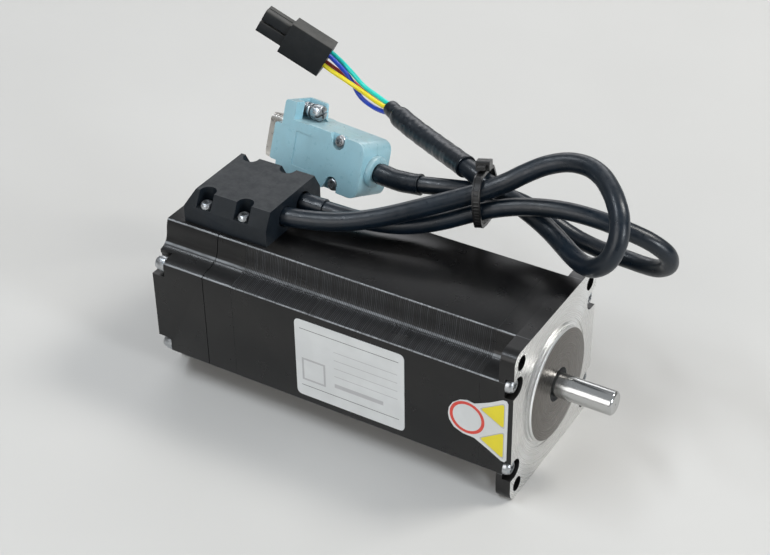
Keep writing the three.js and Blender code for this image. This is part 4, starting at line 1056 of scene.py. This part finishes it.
# (angle in degrees, distance) from the bundle's middle line, one for each of its stations
STATIONS = (0, 0.14, 0.3, 0.5, 0.7, 0.86, 1)
WIRES = {
    "green": [(0, 1.33), (4, 1.33), (12, 1.4), (28, 1.3), (350, 1.75), (325, 2.5), (315, 2.97)],
    "yellow": [(90, 1.33), (93, 1.33), (100, 1.5), (108, 1.75), (122, 2.3), (132, 2.75),
               (135, 2.97)],
    "blue": [(180, 1.33), (172, 2.1), (178, 2.95), (182, 3.1), (200, 0.25), (45, 2.0), (45, 2.97)],
    "red": [(270, 1.33), (252, 1.5), (238, 1.85), (234, 2.4), (236, 2.75), (228, 2.85),
            (225, 2.97)],
}


def wire_spot(centre, place, t):
    along = LEAD_AXIS.lerp(PLUG_AXIS, t).normalized()
    up = (PLUG_UP - along * PLUG_UP.dot(along)).normalized()
    rise, side = polar(place[1], place[0])
    return centre + up * rise + up.cross(along) * side


def bundle_centre(t):
    """Cubic curve from the lead to the plug, sagging a little."""
    leave = LEAD_END + LEAD_AXIS * 11 - Vector((0, 0, 3.2))
    arrive = PLUG_AT - PLUG_AXIS * 11 - Vector((0, 0, 1.4))
    return (LEAD_END * (1 - t) ** 3 + leave * (3 * t * (1 - t) ** 2)
            + arrive * (3 * t * t * (1 - t)) + PLUG_AT * t**3)


for colour, places in WIRES.items():
    points = [wire_spot(LEAD_END - LEAD_AXIS * 1.2, places[0], 0)]
    points += [wire_spot(bundle_centre(t), place, t) for t, place in zip(STATIONS, places)]
    points.append(wire_spot(PLUG_AT + PLUG_AXIS * 2.4, places[-1], 1))
    finish(sweep(points, even(0.83), 0.5, 0.1, 20), "wire_" + colour, WIRE[colour],
           "lead_wire_" + colour, angle=60)

# -------------------------------------------------------------------- cable tie
# (y, z) round the inside of the band, in the tie's own frame
TIE_INSIDE = [
    (12.52, -2.08), (9.28, 3.96), (8.53, 4.57), (-6.54, 9.11), (-8.13, 8.95), (-10.26, 7.81),
    (-11.53, 6.26), (-12.51, 2.98), (-11.9, -3.14), (-11.08, -4.67), (-10.32, -5.29),
    (4.76, -9.83), (10.45, -9.26), (11.66, -8.62), (12.53, -7.54), (12.93, -6.22),
]
TIE_PLACE = axes_at([(0.95539, 0.28228, 0.08685), (-0.28335, 0.95902, 0),
                     (-0.08329, -0.02461, 0.99622)], (-62.4, 30.4, 40.1))


def grow(outline, *offsets):
    """The outline moved outwards, its points taking the offsets in turn."""
    grown = []
    for i, point in enumerate(outline):
        point = Vector(point)
        run = (Vector(outline[(i + 1) % len(outline)]) - Vector(outline[i - 1])).normalized()
        out = Vector((run.y, -run.x))
        if out.dot(point) < 0:
            out = -out
        grown.append(tuple(point + out * offsets[i % len(offsets)]))
    return grown


def on_head(*places):
    """Outline from (along the band, outwards) places about the foot of the head."""
    foot, along, out = Vector((1.35, 7.99)), Vector((-0.9576, 0.2883)), Vector((0.2883, 0.9576))
    return [tuple(foot + along * a + out * b) for a, b in places]


def strap_tie():
    """A flat band with two side rails, its head and its tail."""
    inside = smooth_outline(TIE_INSIDE + TIE_INSIDE[:1], 0.55)[:-1]
    band = prism(grow(inside, 1.05, 0.82), -1.25, 1.25)
    cut(band, prism(inside, -3, 3))
    for x0, x1 in ((-1.3, -0.85), (0.85, 1.3)):
        rail = prism(grow(inside, 1.15), x0, x1)
        cut(rail, prism(grow(inside, 0.05), -3, 3))
        join(band, rail)
    head = on_head((2.4, 0.2), (2.4, 2.9), (2.0, 3.3), (-2.0, 3.3), (-2.4, 2.9), (-2.4, 0.2))
    tail = on_head((5.6, 1.1), (5.6, 2.2), (2.0, 2.2), (2.0, 1.1))
    mouth = on_head((-2.6, 1.1), (-2.6, 2.3), (-1.6, 2.3), (-1.6, 1.1))
    join(band, prism(head, -2.3, 2.3), prism(tail, -1.2, 1.2))
    cut(band, prism(mouth, -1.35, 1.35))
    finish(move(band, TIE_PLACE), "strap_tie", TIE, "cable_tie", 0.10, angle=45)


strap_tie()

# ------------------------------------------------------------ encoder connector
# In its own frame the mouth looks to -X, the wide way is Y and +Z is the near shell.
HOOD_PLACE = axes_at([(0.9892, -0.1443, 0.0247), (0.0262, 0.3407, 0.9398),
                      (-0.1441, -0.9290, 0.3409)], (-129.6, 38.6, 31.8))
THICK, WIDE, EAR = 7.65, 9.8, 15.6  # half thickness, half width, half width over the ears
EAR_END = -5.0
JACK_Y = 12.5
HOOD_SCREW_X, HOOD_SCREW_Y = 11.3, 7.5
# (x, y, corner radius) of the -Y half
HOOD_HALF = [
    (-17.2, -6.6, 0.9), (-14.2, -6.6, 0.3), (-14.2, -EAR, 1.6), (EAR_END, -EAR, 1.0),
    (EAR_END + 0.8, -WIDE - 0.6, 0.5), (EAR_END + 2.2, -WIDE, 0.6), (22.7, -WIDE, 4.2),
]


def hood_shell(name, node, near):
    outline = HOOD_HALF + [(x, -y, radius) for x, y, radius in reversed(HOOD_HALF)]
    body = prism(rounded(outline, 7), -THICK, THICK, "Z")
    add_bevel(body, 1.15, 4, 55)
    apply_mods(body)
    join(body, lathe([(20.0, 0), (20.0, 5.6), (22.9, 5.6), (23.6, 5.5), (24.15, 5.15),
                      (24.4, 4.6), (24.4, 0)], 64))
    z0, z1 = (0.04, THICK + 2) if near else (-THICK - 2, -0.04)
    common(body, box(-30, 30, -20, 20, z0, z1))
    cut(body, box(-12.6, 8.0, -7.6, 7.6, -5.6, 5.6), box(7.9, 14.7, -4.4, 4.4, -5.6, 5.6),
        box(14.6, 20.4, -7.6, 7.6, -5.6, 5.6), box(-13.8, -12.4, -9.1, 9.1, -6.6, 6.6),
        box(-20, -12, -8.8, 8.8, -4.7, 4.7), cyl("X", 3.3, 19, 26, 48))
    tools = []
    for side in SIDES:
        tools.append(cyl("X", 1.75, -16, -10, 28, (side * JACK_Y, 0)))
        tools.append(box(-12.2, -2.5, side * 9.4, side * 16.2, -3.3, 3.3))
        if near:
            tools.append(box(-9.2, -2.5, side * 9.4, side * 16.2, 2.0, THICK + 1))
            # seat of the closing screw, open to the side with a flared mouth
            x = HOOD_SCREW_X
            tools.append(cyl("Z", 2.7, THICK - 1.9, THICK + 1, 40, (x, side * HOOD_SCREW_Y)))
            flare = [(x + 2.6, side * 7.4), (x + 2.6, side * 12), (x - 5.2, side * 12),
                     (x - 2.6, side * 7.4)]
            tools.append(prism(flare, THICK - 1.9, THICK + 1, "Z"))
        else:
            tools.append(box(-15, EAR_END + 2.2, side * 9.9, side * 16.2, -THICK - 1, -4.65))
    cut(body, *tools)
    if near:
        # plain recessed panel
        panel = rounded(rectangle(-7.2, 0.3, -6.1, 6.1, 0.5), 4)
        cut(body, prism(panel, THICK - 0.3, THICK + 1, "Z"))
    z0, z1 = (-1, THICK) if near else (-4.6, 0.5)
    cut(body, *[cyl("Z", 1.4, z0, z1, 24, (HOOD_SCREW_X, side * HOOD_SCREW_Y))
                for side in SIDES])
    finish(move(body, HOOD_PLACE), name, HOOD, node, bevel=0.22, angle=40)


def d_outline(half_w, half_h, radius, steps):
    """D shape, its sides leaning in by 10 degrees towards -Z."""
    lean = half_h * math.tan(math.radians(10))
    return rounded([(half_w, half_h, radius), (-half_w, half_h, radius),
                    (-half_w + 2 * lean, -half_h, radius),
                    (half_w - 2 * lean, -half_h, radius)], steps)


def d_shell():
    shell = prism(d_outline(8.45, 4.3, 2.6, 12), -22.1, -12.8)
    join(shell, prism(rounded(rectangle(8.85, -8.85, 6.3, -6.3, 0.6), 5), -13.6, -12.6))
    cut(shell, prism(d_outline(8.0, 3.85, 2.3, 12), -23, -11))
    finish(move(shell, HOOD_PLACE), "d_shell", SHELL_STEEL, "dsub_shell", 0.18, 3, 40)


def d_insert():
    """Insert with a row of five pins above a row of four."""
    insert = prism(d_outline(7.65, 3.5, 2.1, 8), -17.6, -12.9)
    pitch = 2.74
    for count, z in ((5, 1.42), (4, -1.42)):
        for i in range(count):
            pin = lathe([(-21.4, 0), (-21.4, 0.22), (-21.1, 0.42), (-20.8, 0.5), (-17.3, 0.5),
                         (-17.3, 0)], 20)
            join(insert, move(pin, shift(0, (i - (count - 1) / 2) * pitch, z)))
    finish(move(insert, HOOD_PLACE), "d_insert", [INSERT, GOLD], "dsub_insert",
           0.06, 2, 50)
    inverse = HOOD_PLACE.inverted()
    for face in insert.data.polygons:
        face.material_index = 1 if (inverse @ face.center).x < -17.65 * MM else 0


def jackscrew(label, side, angle):
    profile = [(-14.6, 0), (-14.6, 0.95)]
    for i in range(4):
        x = -14.25 + 0.5 * i
        profile += [(x, 1.35), (x + 0.25, 1.12)]
    profile += [
        (-12.2, 1.35), (-10.8, 1.35), (-10.8, 2.42), (-10.7, 2.5), (-9.8, 2.5), (-9.7, 2.42),
        (-9.7, 1.6), (-8.8, 1.6), (-8.8, 2.42), (-8.7, 2.5), (-7.9, 2.5), (-7.8, 2.42),
        (-7.8, 1.6), (-6.9, 1.6), (-6.9, 2.65), (-6.75, 2.75), (-3.7, 2.75), (-3.35, 2.55),
        (-3.2, 2.2), (-3.2, 0)]
    jack = lathe(profile)
    cut(jack, box(-4.6, -2, -0.42, 0.42, -3.2, 3.2), box(-4.6, -2, -1.7, 1.7, -0.4, 0.4))
    # knurled grip
    cut(jack, *[cyl("X", 0.16, -6.4, -4.9, 8, polar(2.8, 20 * (i + 0.5))) for i in range(18)])
    move(jack, shift(0, side * JACK_Y, 0) @ turn(angle))
    finish(move(jack, HOOD_PLACE), "thumb_jackscrew_" + label, ZINC, "jackscrew_" + label,
           bevel=0.05, angle=45, body=label + "_jackscrew")


def hood_screws():
    template = pan_screw(2.3, 1.5, 1.1, 9.6)
    for label, side in (("upper", 1), ("lower", -1)):
        put_screw(template, "screw_hood_" + label, "hood_screw_" + label,
                  HOOD_PLACE @ shift(HOOD_SCREW_X, side * HOOD_SCREW_Y, THICK - 1.87)
                  @ FACE_UP @ turn(0.6 + side * 0.4))
    drop(template)


hood_shell("hood_near", "hood_near_shell", near=True)
hood_shell("hood_far", "hood_far_shell", near=False)
d_shell()
d_insert()
jackscrew("upper", 1, 0.35)
jackscrew("lower", -1, 1.0)
hood_screws()


# ------------------------------------------------------------------- power plug
def power_plug():
    """Block with four square sockets at +X of its frame and wire holes at the other end."""
    body = prism(rounded(rectangle(5.1, -5.1, 5.8, -6.3, 0.35), 4), -0.5, 16.1)
    grid = [(side_y, side_z) for side_y in SIDES for side_z in SIDES]
    pitch_y, pitch_z = 2.03, 2.35  # sockets from the middle
    towers = []
    for sides in grid:
        y, z = sides[0] * pitch_y, sides[1] * pitch_z
        outer = 0.85 if sides[0] * sides[1] > 0 else 0.3
        corners = [(y + cy * 1.67, z + cz * 2.0, outer if (cy, cz) == sides else 0.2)
                   for cy, cz in rectangle(-1, 1, -1, 1)]
        towers.append(prism(rounded(corners, 3), 15.0, 26.8))
    join(body, *towers)
    join(body, box(15.6, 16.6, -3.7, 3.7, -4.35, 4.35))
    tools = []
    for side_y, side_z in grid:
        y, z = side_y * pitch_y, side_z * pitch_z
        tools.append(box(21.0, 28, y - 1.1, y + 1.1, z - 1.3, z + 1.3))
        tools.append(cyl("X", 1.2, -1, 3.0, 24, (side_y * 2.1, side_z * 2.1)))
    cut(body, *tools)
    move(body, axes_at([PLUG_AXIS, PLUG_SIDE, PLUG_UP], PLUG_AT))
    finish(body, "plug_body", PLUG, "power_plug_housing", bevel=0.2, angle=40)


power_plug()

# ------------------------------------------------- inner pieces kept from the CAD
for material, nodes in (
    (COPPER, ("phase_a_winding", "phase_b_winding")),
    (INSULATOR, ("slot_insulator_front", "slot_insulator_rear")),
    (STEEL_TURN, ("front_bearing_outer_race", "rear_bearing_outer_race",
                  "front_bearing_inner_race", "rear_bearing_inner_race",
                  "front_ball_set", "rear_ball_set", "wave_washer")),
    (BOARD, ("encoder_board",)), (READER, ("encoder_reader",)),
    (CORE, ("rotor_core_front", "rotor_core_rear")), (MAGNET, ("rotor_magnet",)),
    (HUB, ("encoder_hub",)), (DISC, ("encoder_disc",)),
):
    for node in nodes:
        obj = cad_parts[node]
        obj.data.materials.clear()
        obj.data.materials.append(material)
        add_bevel(obj, 0.08, 1, 40)

# -------------------------------------------------------- floor, lights, camera
BACKDROP = (0.70, 0.70, 0.69)


def floor_pale():
    mat = Mat("floor_pale")
    tone = mat.mix(mat.patches(size=160, detail=4, lo=0.3, hi=0.7),
                   (0.530, 0.522, 0.504), (0.548, 0.540, 0.522))
    x, y, _ = mat.xyz()
    # past the lamps' reach (metres) the floor glows in the backdrop's tone, which
    # hides the horizon in low views
    glow = mat.span(mat.radius(x, y), lo=1.15, hi=2.3, to_lo=0.0, to_hi=0.65)
    return mat.surface(
        Base_Color=tone, Emission_Color=BACKDROP, Emission_Strength=glow,
        Roughness=mat.patches(size=30, detail=4, lo=0.3, hi=0.7, to_lo=0.66, to_hi=0.70),
        Normal=mat.bump(mat.noise(size=1.2), depth=0.02, strength=0.25))


corners = [(x, y, -28.25) for x, y in rectangle(-4000, 4000, -4000, 4000)]
floor = new_mesh("floor", corners, [(0, 1, 2, 3)])
floor.data.materials.append(floor_pale())


def studio_world():
    """Light that turns from warm grey to pale blue upwards; the camera sees a flat tone."""
    world = bpy.data.worlds.new("studio")
    SCENE.world = world
    world.use_nodes = True
    nodes, link = world.node_tree.nodes, world.node_tree.links.new
    light = nodes["Background"]
    light.inputs["Strength"].default_value = 0.46
    coords = nodes.new("ShaderNodeTexCoord")
    split = nodes.new("ShaderNodeSeparateXYZ")
    ramp = nodes.new("ShaderNodeValToRGB")
    low, high = ramp.color_ramp.elements
    low.position = 0.0
    low.color = (0.30, 0.295, 0.285, 1)
    high.position = 0.9
    high.color = (0.92, 0.96, 1.0, 1)
    link(coords.outputs["Generated"], split.inputs[0])
    link(split.outputs[2], ramp.inputs[0])
    link(ramp.outputs[0], light.inputs["Color"])
    backdrop = nodes.new("ShaderNodeBackground")
    backdrop.inputs["Color"].default_value = (*BACKDROP, 1)
    path = nodes.new("ShaderNodeLightPath")
    both = nodes.new("ShaderNodeMixShader")
    link(path.outputs["Is Camera Ray"], both.inputs[0])
    link(light.outputs[0], both.inputs[1])
    link(backdrop.outputs[0], both.inputs[2])
    output = next(node for node in nodes if node.type == "OUTPUT_WORLD")
    link(both.outputs[0], output.inputs["Surface"])


def area(name, place, target, size, power, colour, size_y=None):
    """Lamp, in metres and watts."""
    data = bpy.data.lights.new(name, "AREA")
    data.shape = "RECTANGLE"
    data.size = size
    data.size_y = size_y or size
    data.energy = power
    data.color = colour
    lamp = bpy.data.objects.new(name, data)
    SCENE.collection.objects.link(lamp)
    lamp.location = place
    lamp.rotation_mode = "QUATERNION"
    lamp.rotation_quaternion = (Vector(target) - Vector(place)).to_track_quat("-Z", "Y")


def camera():
    data = bpy.data.cameras.new("camera")
    cam = bpy.data.objects.new("camera", data)
    SCENE.collection.objects.link(cam)
    azimuth, height, roll = [math.radians(angle) for angle in (31.2767, 34.3657, -0.8411)]
    back = Vector((math.sin(azimuth) * math.cos(height), -math.cos(azimuth) * math.cos(height),
                   math.sin(height)))
    right = Vector((0, 0, 1)).cross(back).normalized()
    up = back.cross(right)
    axes = [right * math.cos(roll) + up * math.sin(roll),
            up * math.cos(roll) - right * math.sin(roll), back]
    cam.matrix_world = axes_at(axes, (146.36, -373.45, 324.12))
    data.sensor_width = 36.0
    data.lens = 77.744
    data.shift_x = -0.00492
    data.shift_y = -0.0201
    data.clip_start = 0.01
    data.clip_end = 50
    SCENE.camera = cam


studio_world()
area("key", place=(0.75, 0.75, 1.25), target=(-0.06, 0, 0), size=0.5, power=15,
     colour=(1.0, 0.985, 0.95))
area("side", place=(1.35, -0.25, 0.55), target=(-0.02, 0, 0), size=0.3, power=9.0,
     colour=(0.90, 0.95, 1.0))
area("back", place=(-0.75, 1.35, 0.75), target=(-0.06, 0, 0.02), size=1.2, size_y=0.7,
     power=6.0, colour=(0.98, 0.98, 1.0))
area("fill", place=(-0.35, -1.5, 0.75), target=(-0.06, 0, 0.02), size=1.1, power=9.0,
     colour=(1.0, 0.985, 0.97))
area("strip", place=(-0.72, -0.42, 1.30), target=(-0.08, 0, 0.02), size=0.9, size_y=0.12,
     power=8.5, colour=(0.88, 0.94, 1.0))
camera()
SCENE.view_settings.view_transform = "Standard"
SCENE.view_settings.look = "None"
